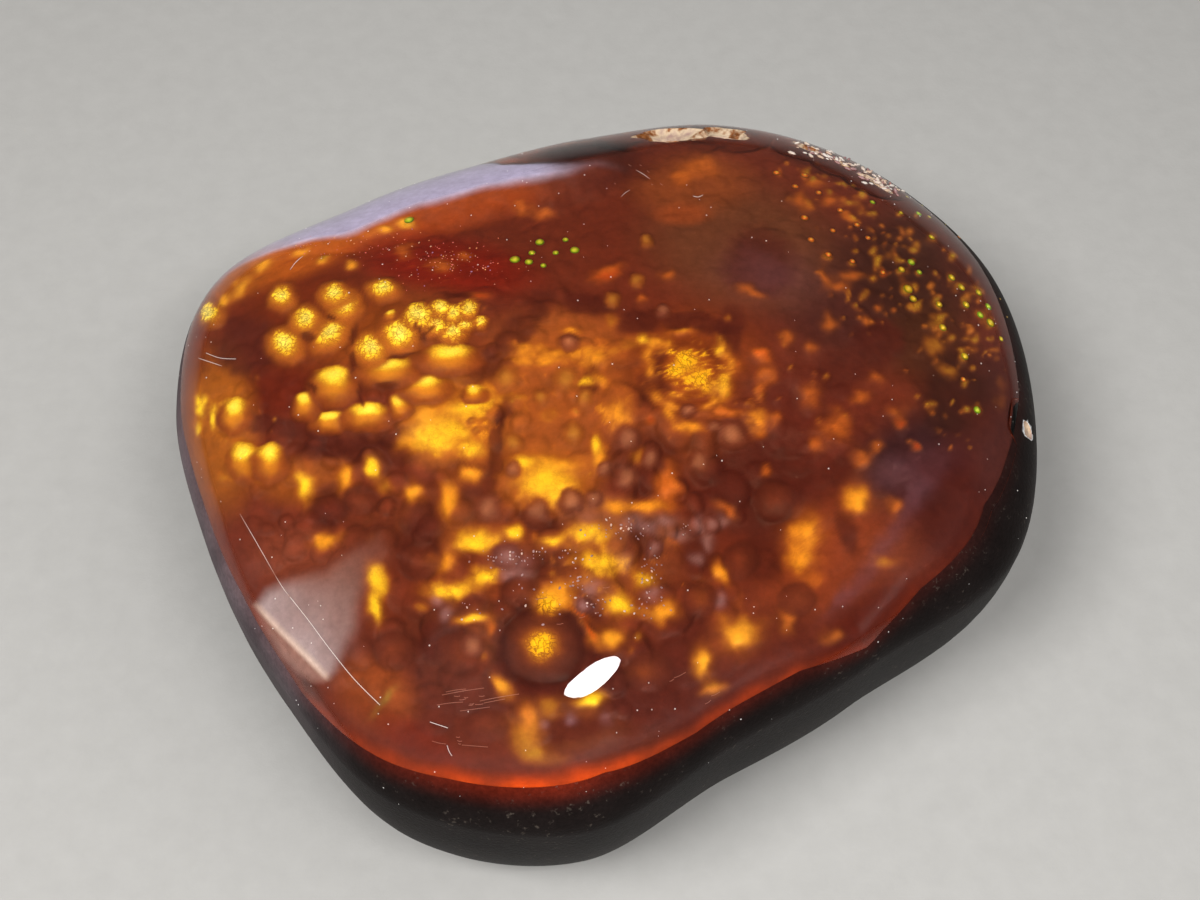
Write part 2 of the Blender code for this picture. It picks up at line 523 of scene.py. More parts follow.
# domes with a crinkled gold cap, and deeper domes with a smooth one
crispGold = (
    (281, 294, 10), (305, 317, 12, 11), (334, 292, 11, 9), (344, 303, 12, 11), (284, 341, 13, 12, 30),
    (329, 331, 16, 11, -42), (382, 286, 12, 8), (371, 345, 14, 12), (399, 332, 14, 12), (206, 312, 12, 9))
crowdedGold = (
    (418, 313, 14, 12, 20), (434, 322, 12, 10), (441, 305, 9, 8), (455, 311, 9, 9), (469, 306, 9, 9),
    (451, 329, 14, 10), (482, 320, 6, 6, -40), (466, 323, 8, 6))
smoothGold = (
    (449, 350, 23, 11), (387, 363, 24, 10), (333, 374, 18, 13), (425, 379, 20, 10), (400, 398, 9, 9),
    (366, 408, 18, 10), (304, 398, 10, 9), (328, 414, 15, 8), (233, 405, 12, 13), (243, 452, 13, 13),
    (268, 452, 13, 13), (474, 388, 9, 6), (390, 312, 6, 4))

# bright pieces with no ball of their own
crackledGold = (
    (541, 645, 13), (546, 603, 11, 8), (687, 360, 10, 9), (700, 379, 9, 7, 20), (676, 370, 6, 6))
softGold = (
    (440, 428, 20, 12, -20), (546, 478, 28, 17), (560, 492, 14, 10), (436, 437, 17, 14),
    (470, 404, 17, 8, -12), (470, 445, 13, 9), (478, 538, 20, 10), (587, 532, 19, 8), (552, 540, 12, 5),
    (603, 560, 22, 12), (486, 572, 15, 7, -20), (450, 587, 22, 8), (646, 577, 11, 8),
    (620, 602, 14, 10, 20), (590, 700, 13, 7), (472, 617, 13, 4, -10), (583, 377, 9, 6), (250, 476, 22, 5),
    (305, 485, 9, 14), (378, 578, 8, 14), (374, 604, 7, 14), (372, 465, 7, 9), (200, 404, 5, 12),
    (212, 414, 4, 13), (196, 430, 4, 8), (644, 336, 6, 5), (596, 442, 4, 9), (522, 461, 9, 5),
    (514, 529, 8, 6), (720, 380, 6, 11), (719, 350, 4, 5), (455, 428, 9, 7), (700, 382, 9, 5))
paleGold = (
    (620, 412, 13, 20, -8), (600, 375, 8, 6, 20), (525, 352, 16, 8, -30), (478, 392, 16, 9, -30),
    (580, 350, 24, 6, 0), (430, 408, 14, 8, -30), (556, 461, 26, 6, 0), (548, 356, 15, 8),
    (668, 344, 4, 7, 20), (741, 632, 17, 16), (741, 632, 7, 7), (324, 540, 11, 8), (343, 478, 8, 11),
    (410, 490, 8), (262, 263, 10, 5, -30), (300, 250, 9, 4, -20), (322, 257, 8, 4, -20),
    (240, 286, 6, 11, 30), (405, 221, 9, 5), (352, 262, 5, 4), (222, 300, 5, 9, 30), (385, 228, 6, 4),
    (648, 352, 5, 8, 30), (655, 340, 8, 4, -30), (684, 328, 11, 3), (722, 342, 4, 8, -20),
    (730, 362, 4, 10), (728, 386, 5, 9, 20), (712, 402, 12, 4, -20), (676, 405, 10, 4, 15),
    (443, 560, 12, 8, -30), (470, 475, 9, 8), (447, 497, 9, 16), (612, 505, 11, 7), (645, 505, 20, 5),
    (667, 612, 10, 9), (704, 662, 8, 13), (722, 570, 7, 12, -30), (600, 457, 5, 10), (592, 357, 17, 6),
    (522, 345, 10, 6), (755, 415, 11, 13), (657, 395, 5, 9, -45), (670, 412, 5, 10, -40), (692, 425, 16, 6),
    (680, 392, 11, 4), (650, 365, 5, 11), (667, 345, 6, 6), (571, 329, 9, 4), (560, 594, 17, 14),
    (612, 637, 13, 9), (500, 682, 5, 10, -40), (432, 418, 9, 7), (410, 440, 12, 6, -20), (808, 532, 17, 18),
    (801, 559, 12), (861, 497, 12, 14), (455, 408, 10, 6))

orangeFire = (
    (665, 487, 13, 18), (672, 478, 8, 14), (405, 247, 8), (440, 262, 12, 7), (465, 252, 7, 4),
    (370, 232, 10, 5, -20), (483, 322, 5), (435, 559, 8, 6), (750, 289, 13, 6, 20), (608, 267, 12, 4, -22),
    (700, 165, 20, 13), (680, 176, 10, 8), (715, 690, 12, 3, -15), (562, 771, 18, 4),
    (648, 747, 13, 3, -20), (817, 580, 11, 7), (831, 642, 9, 10), (895, 507, 8, 9), (863, 454, 11),
    (727, 509, 12, 6, 40), (812, 394, 12, 13), (840, 424, 15), (818, 440, 7, 9), (864, 394, 9, 6),
    (877, 375, 10, 7), (898, 409, 7, 8), (765, 369, 11, 9), (760, 387, 5, 8), (762, 426, 6, 7),
    (762, 350, 6), (738, 363, 5, 8), (786, 333, 7), (812, 344, 8, 6), (834, 320, 8, 11), (866, 318, 6),
    (880, 305, 4), (779, 416, 6, 8), (727, 367, 5, 12), (680, 330, 10, 3), (727, 410, 14, 5),
    (603, 340, 8, 6), (595, 339, 6), (573, 413, 7), (668, 270, 9, 6), (642, 296, 5), (525, 722, 7, 18, -12),
    (671, 541, 8, 4), (881, 444, 6), (801, 198, 7, 9), (831, 198, 8, 5), (849, 215, 6), (778, 170, 4),
    (805, 173, 4), (816, 181, 10, 4), (853, 273, 13, 5), (840, 284, 10, 5), (825, 273, 6, 11),
    (543, 210, 11, 7), (520, 205, 9, 6), (722, 412, 17, 5), (489, 627, 5, 9), (790, 620, 9, 12),
    (770, 470, 6, 8))

redFire = (
    (608, 268, 18, 7, -22), (477, 293, 14, 4), (652, 417, 6, 5), (901, 422, 7, 6), (918, 446, 5),
    (989, 532, 10), (930, 598, 5, 4), (1022, 368, 3, 10), (962, 235, 5, 3), (885, 271, 3, 5),
    (211, 492, 2, 7), (640, 670, 12, 12), (762, 350, 8, 6), (580, 614, 13, 3, 30), (591, 632, 13, 3, 62))

oliveFire = (
    (548, 708, 11, 11), (537, 758, 14, 12), (556, 762, 20, 8), (525, 736, 14, 22), (384, 484, 8),
    (411, 492, 8), (419, 607, 7, 5), (596, 531, 18, 9), (482, 655, 5), (573, 382, 6), (700, 595, 12, 14),
    (612, 318, 8), (636, 452, 9), (887, 562, 13, 7), (936, 346, 9), (951, 370, 10, 6), (1011, 385, 8, 9),
    (1005, 403, 8, 7), (933, 237, 5), (918, 243, 5), (718, 690, 9), (510, 395, 14, 10), (545, 415, 14, 10),
    (625, 345, 10, 8))

tinyFire = (
    (873, 201, 3), (873, 212, 6, 3), (901, 211, 3), (919, 214, 4), (929, 216, 3), (924, 203, 4),
    (907, 197, 2.5), (947, 223, 4, 3), (879, 256, 5, 4), (913, 260, 4), (921, 271, 4), (903, 268, 4),
    (853, 260, 4), (829, 253, 5), (856, 248, 4), (875, 277, 5), (910, 290, 6, 7), (918, 285, 5),
    (919, 305, 7, 5), (940, 303, 5, 3), (944, 327, 6, 5), (938, 316, 6), (952, 255, 5), (953, 277, 5, 6),
    (962, 286, 6, 4), (979, 292, 7, 6), (989, 307, 4), (990, 323, 7, 6), (981, 314, 6, 5),
    (1001, 338, 3, 5), (1005, 297, 4), (1011, 316, 3, 6), (968, 304, 5), (966, 355, 5, 8), (979, 409, 5),
    (929, 401, 6), (408, 219, 6), (323, 255, 5, 3), (840, 181, 6, 3), (854, 184, 4, 3))

# brown balls with a paler crown that is a painted highlight, olive ones, and the large dome low in the middle
# whose dark ring is painted shade
brownBalls = ((570, 500, 16), (733, 434, 18), (569, 341, 11), (689, 409, 9))
dullBalls = (
    (486, 507, 17), (536, 510, 15), (627, 437, 16), (650, 457, 11), (626, 477, 15), (699, 462, 13),
    (662, 307, 8), (714, 426, 8), (594, 497, 10), (471, 645, 14), (606, 468, 9), (512, 468, 10))
mauveBalls = ((506, 555, 15), (586, 606, 9), (655, 548, 9), (712, 524, 10))
oliveBalls = (
    (612, 297, 10), (637, 278, 9), (647, 239, 8), (506, 377, 16), (566, 378, 15), (585, 396, 11),
    (573, 431, 14), (512, 443, 12), (470, 420, 4), (474, 430, 4), (540, 396, 10))
ringDomes = ((541, 645, 47, 45),)
dimDomes = (
    (972, 532, 26, 40, 22), (650, 672, 28, 26), (458, 652, 28, 26), (700, 600, 22, 22), (610, 738, 28, 22),
    (486, 726, 28, 22), (392, 650, 26, 24), (742, 560, 22, 24), (420, 560, 26, 22), (774, 500, 24, 26),
    (800, 600, 24, 22), (520, 590, 24, 20), (360, 500, 20, 18))
swirlDomes = ((689, 369, 35, 31),)

# painted shade: dark wedges where neighbouring balls meet
paintedShadeSeams = (
    (307, 335, 8, 5, 12), (423, 334, 5, 6, 0), (418, 326, 6, 2.5, 52), (432, 328, 8, 2.5, -42),
    (331, 316, 6, 2.5, 30), (352, 334, 3, 12, 10), (360, 392, 3, 14, -12), (455, 292, 24, 4, 6),
    (400, 354, 16, 2.5, -12), (312, 386, 4, 9, -35), (385, 384, 16, 4, 0), (352, 360, 4, 12, 10))

mauveHaze = (
    (510, 560, 12, 10), (507, 574, 8, 5), (522, 575, 9, 6), (436, 599, 5, 6), (445, 612, 5, 7, 30),
    (594, 586, 9, 7), (587, 607, 8, 7), (655, 595, 7, 7), (721, 600, 5, 7), (622, 560, 6, 9),
    (695, 559, 6, 6), (605, 724, 6), (571, 720, 5), (542, 725, 5), (635, 522, 9, 6), (649, 526, 8, 6),
    (700, 525, 8, 7), (708, 541, 6, 7), (722, 520, 6, 5), (666, 520, 8, 5), (680, 536, 9, 5))
mauveStreaks = (
    (770, 270, 44, 22, 10), (846, 600, 6, 22, 42), (868, 572, 7, 22, 38), (892, 540, 7, 24, 32),
    (914, 498, 9, 26, 24), (930, 482, 9, 26, 30), (900, 470, 26, 14, -20))

sparks = {"beds": ((930, 300, 70, 60, 50, 60), (985, 330, 50, 34, 60, 34), (890, 235, 60, 26, 35, 34),
          (830, 190, 60, 30, 35, 30), (950, 400, 50, 40, 80, 20), (860, 300, 50, 40, 0, 18),
          (800, 380, 90, 60, 0, 18), (690, 370, 60, 50, 0, 26), (560, 400, 90, 90, 0, 26),
          (600, 590, 90, 60, 0, 24), (240, 420, 40, 60, 0, 16)), "size": (2.2, 4.8),
          "tones": ((180, 148, 40), (150, 124, 36), (190, 120, 44), (160, 92, 44), (130, 120, 36)),
          "seed": 17, "strength": (0.2, 0.7), "squash": (0.5, 1.0), "crisp": 0.2}

greenGlimmer = ((386, 697, 11, 3.5, -49), (373, 713, 11, 3, -52))

patchKinds = (
    {"spots": greenGlimmer, "colour": (134, 120, 48), "haze": True, "strength": 0.65, "spread": 1.0},
    {"spots": mauveStreaks, "colour": (94, 60, 72), "haze": True, "strength": 0.55, "spread": 1.1},
    {"spots": mauveHaze, "colour": (150, 118, 132), "haze": True, "strength": 0.6, "spread": 1.0},
    {"spots": redFire, "colour": (196, 58, 18), "crisp": 0.0, "strength": 0.6, "spread": 1.0},
    {"spots": oliveFire, "colour": (170, 128, 34), "crisp": 0.0, "strength": 0.55, "spread": 1.1},
    {"spots": orangeFire, "colour": (212, 120, 46), "crisp": 0.0, "strength": 0.56, "spread": 1.12},
    {"spots": paleGold, "colour": (234, 164, 42), "crisp": 0.0, "strength": 0.85, "spread": 0.9,
     "core": 0.12, "halo": (176, 112, 34), "wide": 1.6, "faint": 0.4},
    {"spots": tinyFire, "colour": (168, 136, 34), "crisp": 0.4, "strength": 0.7, "spread": 0.9},
    {"spots": softGold, "colour": (255, 216, 44), "crisp": 0.15, "strength": 0.96, "spread": 0.88,
     "core": 0.18, "halo": (190, 130, 36), "wide": 1.55, "faint": 0.55})

# each ball is painted lighter at its crown as a painted highlight and darker toward its edge as painted shade
ballKinds = (
    {"spots": smoothGold, "ball": 1.9, "lower": 0.95, "clip": 0.1, "opacity": 0.9, "soft": 0.36,
     "paintedLitCrown": (200, 126, 30), "flank": (132, 66, 24), "edge": (80, 30, 14), "cap": (250, 208, 36),
     "crisp": 0.2, "strength": 1.0, "spread": 0.95, "order": 1, "paintedHighlight": (255, 234, 92)},
    {"spots": crispGold, "ball": 2.2, "lower": 0.2, "clip": 0.3, "opacity": 0.9, "soft": 0.5,
     "paintedLitCrown": (220, 146, 34), "flank": (152, 82, 26), "edge": (88, 34, 14), "cap": (252, 214, 34),
     "crisp": 1.0, "strength": 1.0, "spread": 1.05, "order": 1, "paintedHighlight": (255, 240, 120)},
    {"spots": crowdedGold, "ball": 1.5, "lower": 0.25, "clip": 0.2, "opacity": 0.9, "soft": 0.4,
     "paintedLitCrown": (224, 150, 36), "flank": (156, 84, 26), "edge": (92, 34, 14), "cap": (250, 210, 34),
     "crisp": 1.0, "strength": 1.0, "spread": 1.1, "order": 1, "paintedHighlight": (255, 240, 120)},
    {"spots": dimDomes, "ball": 1.0, "lower": 0.0, "opacity": 0.6, "soft": 0.3, "paintedLitCrown": (112, 54, 34),
     "flank": (86, 38, 26), "edge": (54, 22, 16), "order": -1},
    {"spots": ringDomes, "ball": 1.0, "lower": 0.0, "opacity": 0.9, "soft": 0.16, "paintedLitCrown": (120, 60, 34),
     "flank": (82, 38, 28), "edge": (50, 18, 14), "order": 0},
    {"spots": swirlDomes, "ball": 1.0, "lower": 0.0, "opacity": 0.7, "soft": 0.35, "paintedLitCrown": (190, 108, 24),
     "flank": (150, 76, 22), "edge": (80, 32, 14), "order": 0, "rise": 0.3},
    {"spots": oliveBalls, "ball": 1.15, "lower": 0.0, "opacity": 0.7, "soft": 0.4, "paintedLitCrown": (176, 124, 46),
     "flank": (142, 82, 30), "edge": (86, 40, 20), "order": 2},
    {"spots": brownBalls, "ball": 1.15, "lower": 0.0, "opacity": 0.78, "soft": 0.38,
     "paintedLitCrown": (164, 110, 84), "flank": (104, 54, 41), "edge": (58, 22, 16), "order": 3},
    {"spots": dullBalls, "ball": 1.15, "lower": 0.0, "opacity": 0.68, "soft": 0.5, "paintedLitCrown": (152, 102, 80),
     "flank": (108, 58, 44), "edge": (66, 28, 20), "order": 3},
    {"spots": mauveBalls, "ball": 1.2, "lower": 0.0, "opacity": 0.85, "soft": 0.4,
     "paintedLitCrown": (136, 100, 108), "flank": (106, 62, 60), "edge": (72, 32, 26), "order": 3})

# cells of gold that fill between the pieces above: x, y, half width, half height, turn, strength
cellKinds = (
    {"size": 0.95, "colour": (196, 138, 42), "crisp": 0.05, "line": (0.02, 0.8),
     "zones": ((600, 590, 120, 56, 0, 0.6), (520, 712, 90, 34, 0, 0.4), (745, 600, 50, 60, 0, 0.45),
     (330, 515, 70, 36, 0, 0.5), (850, 400, 80, 60, 0, 0.3), (470, 600, 60, 60, 0, 0.4))},
    {"size": 0.46, "colour": (240, 172, 40), "crisp": 0.25, "line": (0.03, 0.5),
     "zones": ((455, 420, 56, 40, -20, 0.9), (560, 350, 76, 20, 0, 0.6), (545, 482, 48, 30, 0, 0.7),
     (612, 400, 24, 40, 0, 0.6), (730, 400, 34, 36, 0, 0.5), (600, 556, 90, 26, 0, 0.55),
     (520, 400, 70, 60, 0, 0.35), (210, 420, 24, 40, 0, 0.7))},
    {"size": 0.3, "colour": (196, 74, 34), "crisp": 0.3, "line": (0.1, 0.9),
     "zones": ((440, 262, 70, 24, 8, 0.5), (340, 250, 60, 14, -20, 0.4))})

# darker lines and uneven cells that break up the gold of the middle
crumbs = {"size": 0.5, "line": (0.0, 0.5), "depth": 0.36, "lively": (0.88, 0.5),
          "zones": ((455, 425, 60, 44, -20, 0.5), (560, 345, 80, 26, 0, 0.7), (612, 400, 30, 46, 0, 0.6),
          (560, 400, 70, 50, 0, 0.7), (545, 478, 50, 28, 0, 0.3), (690, 366, 76, 62, 0, 0.85),
          (600, 560, 110, 40, 0, 0.6), (480, 580, 60, 30, 0, 0.6), (730, 410, 40, 40, 0, 0.8),
          (212, 420, 24, 50, 0, 0.7), (830, 560, 60, 50, -30, 0.5), (850, 400, 80, 60, 0, 0.5)),
          "kept": (0.3, 1.1)}

# the large dome right of the middle: crumbs of gold round a crackled core
rose = {"spot": (690, 366, 36, 32), "size": 0.3, "line": (0.05, 0.45), "colour": (255, 200, 28),
        "crisp": 0.5, "brighter": 1.5, "crackles": (((170, 112, 32), 1.5, 0.5, 0.2),
        ((255, 200, 28), 1.0, 0.95, 0.9))}

# ground colours lie in the camera's frame: (x, y, half width, half height, turn, colour, strength)
groundZones = (
    (300, 340, 125, 95, 0, (98, 38, 15), 1.0), (430, 206, 190, 28, -17, (142, 62, 18), 1.0),
    (310, 246, 95, 20, -25, (164, 84, 22), 0.95), (236, 268, 48, 22, -42, (152, 82, 20), 0.9),
    (225, 350, 40, 50, 0, (100, 38, 20), 0.9), (275, 392, 54, 26, 0, (88, 28, 12), 1.0),
    (445, 262, 88, 28, 8, (114, 28, 12), 1.0), (460, 415, 60, 44, -20, (178, 110, 30), 0.85),
    (395, 335, 80, 44, -10, (132, 68, 20), 0.6), (360, 440, 60, 24, 0, (84, 36, 20), 0.9),
    (560, 335, 66, 30, 0, (150, 84, 38), 0.8), (560, 400, 90, 70, 0, (150, 84, 36), 0.85),
    (600, 440, 56, 36, 0, (134, 74, 38), 0.6), (545, 480, 52, 36, 0, (156, 92, 32), 0.7),
    (640, 420, 40, 40, 0, (116, 56, 34), 0.7), (690, 365, 72, 56, 0, (122, 58, 20), 0.85),
    (690, 440, 60, 30, 0, (116, 60, 32), 0.7), (400, 520, 70, 40, 0, (96, 44, 28), 0.9),
    (300, 480, 50, 24, 0, (140, 78, 24), 0.6), (450, 520, 50, 30, 0, (112, 60, 30), 0.7),
    (548, 640, 64, 58, 0, (74, 34, 26), 0.9), (600, 560, 90, 40, 0, (112, 62, 36), 0.6),
    (620, 520, 60, 22, 10, (120, 76, 60), 0.8), (480, 630, 44, 30, 0, (104, 56, 34), 0.7),
    (430, 640, 40, 40, 0, (78, 36, 24), 0.8), (830, 560, 76, 60, -30, (122, 56, 30), 0.8),
    (850, 290, 90, 70, 20, (68, 34, 32), 0.95), (740, 240, 95, 62, 10, (98, 60, 42), 0.9),
    (690, 180, 60, 30, 0, (132, 72, 38), 0.8), (590, 165, 70, 24, -8, (84, 34, 24), 0.8),
    (930, 260, 80, 70, 0, (54, 28, 20), 0.9), (930, 340, 50, 40, 0, (64, 34, 18), 0.8),
    (800, 420, 80, 60, 0, (84, 33, 26), 0.8), (760, 490, 70, 50, 0, (72, 28, 25), 0.85),
    (920, 460, 70, 50, -20, (50, 26, 32), 0.95), (900, 560, 50, 30, -35, (110, 54, 34), 0.7),
    (965, 520, 56, 60, -10, (46, 14, 10), 0.95), (880, 630, 90, 40, -35, (66, 18, 8), 0.95),
    (650, 700, 150, 50, 0, (68, 28, 22), 0.85), (600, 745, 90, 24, 0, (84, 38, 22), 0.7),
    (420, 690, 100, 50, 20, (84, 38, 28), 0.85), (300, 560, 60, 30, 0, (118, 60, 42), 0.7),
    (218, 430, 34, 80, 0, (160, 92, 24), 0.85), (1004, 430, 30, 100, 0, (50, 32, 30), 0.9),
    (830, 163, 80, 14, 22, (70, 28, 18), 0.8), (940, 225, 60, 16, 48, (66, 28, 16), 0.8),
    (960, 395, 40, 50, 0, (46, 22, 16), 0.9), (585, 146, 62, 12, -12, (40, 10, 8), 1.0),
    (780, 640, 40, 26, -35, (78, 30, 18), 0.8), (374, 694, 42, 32, 35, (140, 70, 32), 0.75),
    (292, 670, 48, 11, 50, (66, 52, 47), 0.95), (336, 722, 26, 8, 46, (72, 40, 32), 0.7),
    (414, 738, 52, 16, 28, (104, 32, 18), 0.6), (560, 728, 60, 22, 0, (120, 66, 32), 0.6),
    (682, 211, 28, 11, 0, (142, 72, 36), 0.75))

# painted shade in the hollows and folds between the bright places
paintedShadePlaces = (
    (494, 448, 7, 34, 8), (504, 408, 8, 16, 35), (505, 345, 60, 13, -52), (468, 480, 20, 16, 0),
    (535, 516, 18, 9, 10), (640, 462, 34, 30, 0), (655, 378, 14, 26, 20), (745, 485, 30, 34, 0),
    (552, 566, 36, 12, 5), (548, 604, 40, 7, -12), (500, 640, 9, 34, 0), (596, 640, 9, 34, 0),
    (548, 688, 36, 9, 0), (640, 540, 14, 24, 30), (700, 560, 16, 22, 0), (688, 640, 22, 30, 10),
    (420, 545, 22, 26, 0), (400, 440, 22, 9, -20), (350, 450, 50, 10, 5), (270, 425, 60, 9, 8),
    (330, 505, 16, 20, 0), (425, 520, 14, 20, 0), (590, 375, 10, 16, 0), (730, 330, 14, 24, 0),
    (700, 320, 40, 8, 8), (640, 320, 18, 12, 0), (770, 540, 22, 40, 10), (840, 470, 16, 14, 0),
    (850, 530, 10, 22, -20), (790, 470, 22, 22, 0), (840, 370, 22, 18, 0), (880, 340, 24, 20, 0),
    (590, 300, 26, 10, 10), (460, 600, 18, 8, 0), (440, 640, 26, 18, 0), (640, 640, 18, 10, 0),
    (570, 730, 30, 12, 0), (760, 260, 30, 30, 0), (246, 345, 30, 26, 0))

whitePatch = {"outline": ((372, 528), (345, 548), (318, 572), (288, 578), (262, 590), (252, 606),
    (264, 632), (279, 656), (296, 673), (309, 682), (320, 682), (330, 671), (340, 650), (350, 625),
    (352, 600), (362, 565), (376, 545)), "foot": (262.0, 648.0), "way": (0.71, -0.71), "length": 150.0,
    "deepFoot": 0.05, "deepTip": 1.0, "sinks": (-36.0, 4.0), "calms": (-16.0, 0.0), "stray": 0.8,
    "ragged": 10.0, "edge": ((-4.0, -9.0), (5.0, 16.0)), "cover": (0.92, 0.45), "plain": 0.88,
    # the pale tone 25 along the patch is a painted highlight band across it
    "cloudy": 0.3, "clouds": (-0.6, 0.4), "tones": {0: (138, 104, 96), 21: (146, 110, 100),
    25: (226, 204, 190), 31: (170, 157, 160), 60: (152, 136, 138), 110: (120, 100, 98), 150: (104, 82, 80)}}

depthZones = (
    (340, 330, 170, 110, 0, 0.5), (560, 400, 120, 100, 0, 1.6), (690, 365, 90, 80, 0, 1.5),
    (850, 300, 130, 120, 0, 1.3), (560, 600, 200, 110, 0, 1.7), (820, 500, 170, 120, 0, 2.2))

# the layer itself: its mesh, its depth and relief in millimetres, how its places stray, its plain colours,
# and the painted highlight and painted shade of its balls, hollows and seams
fire = {"cells": 300, "lineRings": 4, "startBelow": 0.3, "closeDown": 0.7, "closingRings": (0.95, 0.6, 0.25),
        "skin": 0.1, "defaultDepth": 1.5, "deepens": (0.2, 3.2), "pixelsPerMm": 25.2, "valley": 0.3,
        "tallest": 0.55, "litHeight": 0.06, "litFlattens": 0.7, "frontFrom": (0.05, 0.25), "unseen": 0.01,
        "wanderSeed": 4, "wanderSpans": (1.3, 0.45), "wander": (6.0, 4.5), "gentleWander": (2.0, 2.5),
        "reach": 2.4, "paintedLitCrown": (0.05, 0.62), "edge": (0.58, 0.98), "paintedHighlight": (0.55, 0.7), "paintedHighlightCrisp": 0.6,
        "plainTint": (200, 120, 30), "ground": (98, 42, 27), "dark": (74, 28, 20), "paintedShadeShare": 0.8,
        "seamShade": (64, 20, 10), "seamShadeShare": 0.75}

# the rim: how high the painted red glow of the rim line reaches and how unevenly, and the brown above it
rim = {"ember": (200, 70, 14), "paintedGlowShare": 0.9, "paintedGlowHigh": 0.5, "paintedGlowCurve": 1.8, "paintedGlowStray": 0.16,
       "noiseScale": 13.0, "uneven": (0.8, 0.9, 0.4), "glowRange": (0.25, 1.1), "brown": (82, 26, 14),
       "brownShare": 0.45, "brownHigh": (0.3, 1.9), "brownStray": 0.5, "calmHigh": (0.3, 1.6),
       "dimHigh": (0.2, 0.8)}

# where each kind of zone is full and where it has faded out, in its own half sizes
fades = {"depth": (0.5, 1.5), "ground": (0.5, 1.4), "dark": (0.8, 1.5), "seamShade": (0.5, 1.2),
         "rose": (0.5, 1.2), "cells": (0.4, 1.3), "crumbs": (0.6, 1.3), "chips": (0.9, 1.6)}

# plain bubbles everywhere, brighter ones on the sides that the camera does not see; each is lighter at its
# crown as a painted highlight and darker at its edge as painted shade
fillers = {"seed": 4, "tries": 1600, "radius": (0.35, 0.95), "contrast": (0.3, 0.95),
           "brightness": (0.1, 0.9), "livelyPlace": (500, 520), "livelySize": (260, 220),
           "livelyEdge": (0.6, 1.3), "quiet": 0.25, "cover": (0.68, 1.0), "lit": (0.1, 0.8), "apart": 0.8,
           "stray": 0.2, "crisp": 0.2, "rise": 0.5, "paintedLitCrown": 1.4, "edge": 0.45,
           "tones": ((196, 120, 34), (214, 150, 30), (170, 84, 30), (120, 88, 30))}

# the milky strip: its ends by degrees, and how its two edges wave (span and height in millimetres)
strip = {"colour": (168, 160, 184), "starts": (78, 88), "ends": (148, 164), "fullFrom": (88, 103),
         "least": 0.15, "wave": (1.1, 0.1), "footWave": (1.5, 0.5), "footWavesFrom": (110, 120),
         "edge": 0.12, "footEdge": 0.15, "sinksOver": (-0.1, 0.7)}


def fullSpot(spot):
    return (tuple(spot) + (spot[2], 0.0)[len(spot) - 3:])[:5]


# how far places lie from the middle of a spot, against its half sizes
def farFrom(places, spot):
    x, y, wide, high, turn = fullSpot(spot)
    across, down = places[:, 0] - x, places[:, 1] - y
    angle = math.radians(turn)
    along = across * math.cos(angle) + down * math.sin(angle)
    beside = down * math.cos(angle) - across * math.sin(angle)
    return np.hypot(along / wide, beside / high)


# distance inside the outline, or less than nothing outside it
def insidePolygon(places, outline):
    corners = np.array(outline, dtype=float)
    inside = np.zeros(len(places), dtype=bool)
    nearest = np.full(len(places), np.inf)
    for a, b in zip(corners, np.roll(corners, -1, axis=0)):
        crosses = (a[1] > places[:, 1]) != (b[1] > places[:, 1])
        with np.errstate(divide="ignore", invalid="ignore"):
            meet = a[0] + (places[:, 1] - a[1]) / (b[1] - a[1]) * (b[0] - a[0])
        inside ^= crosses & (places[:, 0] < meet)
        way = b - a
        share = np.clip(((places - a) @ way) / (way @ way), 0.0, 1.0)
        nearest = np.minimum(nearest, np.linalg.norm(places - a - share[:, None] * way, axis=1))
    return np.where(inside, nearest, -nearest)


def alongPatch(places):
    way = (places - np.array(whitePatch["foot"])) @ np.array(whitePatch["way"])
    return np.clip(way, 0.0, whitePatch["length"])


print("forming the layer of fire")
fireGrid = domeGrid(fire["cells"], fire["lineRings"], fire["startBelow"])
border = fireGrid["border"]
closing = [(fireGrid["shares"][border] * inner, fireGrid["heights"][border] - fire["closeDown"])
           for inner in fire["closingRings"]]
firePoints, fireTurns, fireHeights, fireFaces = closedForm(fireGrid, closing)[:4]
firePoints = fitted(firePoints, formPoints)
fireNormals = meshNormals(firePoints, fireFaces)
onDome = np.arange(len(firePoints)) < len(fireGrid["turns"])
fireAbove = np.where(onDome, fireHeights - roundStone(glowLine, fireTurns), -fire["closeDown"])
toEye = eye - firePoints
toEye = toEye / np.linalg.norm(toEye, axis=1)[:, None]
facing = np.einsum("ij,ij->i", toEye, fireNormals)
front = smoothed(facing, *fire["frontFrom"]) * onDome
degrees = np.degrees(fireTurns) % 360

# how deep the layer lies under the polish
flatSeen = framePlace(firePoints)
depth = np.full(len(firePoints), fire["defaultDepth"])
for zone in depthZones:
    depth += (zone[5] - depth) * within(farFrom(flatSeen, zone[:5]), *fades["depth"])
depth *= smoothed(fireAbove, *fire["deepens"])
inPatch = insidePolygon(flatSeen, whitePatch["outline"])
patchAlong = alongPatch(flatSeen) / whitePatch["length"]
patchDepth = whitePatch["deepFoot"] + whitePatch["deepTip"] * patchAlong
depth += (patchDepth - depth) * smoothed(inPatch, *whitePatch["sinks"]) * front
stripTurns = smoothed(degrees, *strip["starts"]) * within(degrees, *strip["ends"])
overStrip = firePoints[:, 2] - roundStone(stripEdge, fireTurns)
overStrip += noiseOver(firePoints, strip["wave"][0]) * strip["wave"][1]
underStrip = firePoints[:, 2] - roundStone(stripFoot, fireTurns)
footWave = noiseOver(firePoints, strip["footWave"][0]) * strip["footWave"][1]
underStrip += footWave * smoothed(degrees, *strip["footWavesFrom"])
inStrip = stripTurns * within(overStrip, -strip["edge"], strip["edge"]) * onDome
inStrip *= smoothed(underStrip, -strip["footEdge"], strip["footEdge"])
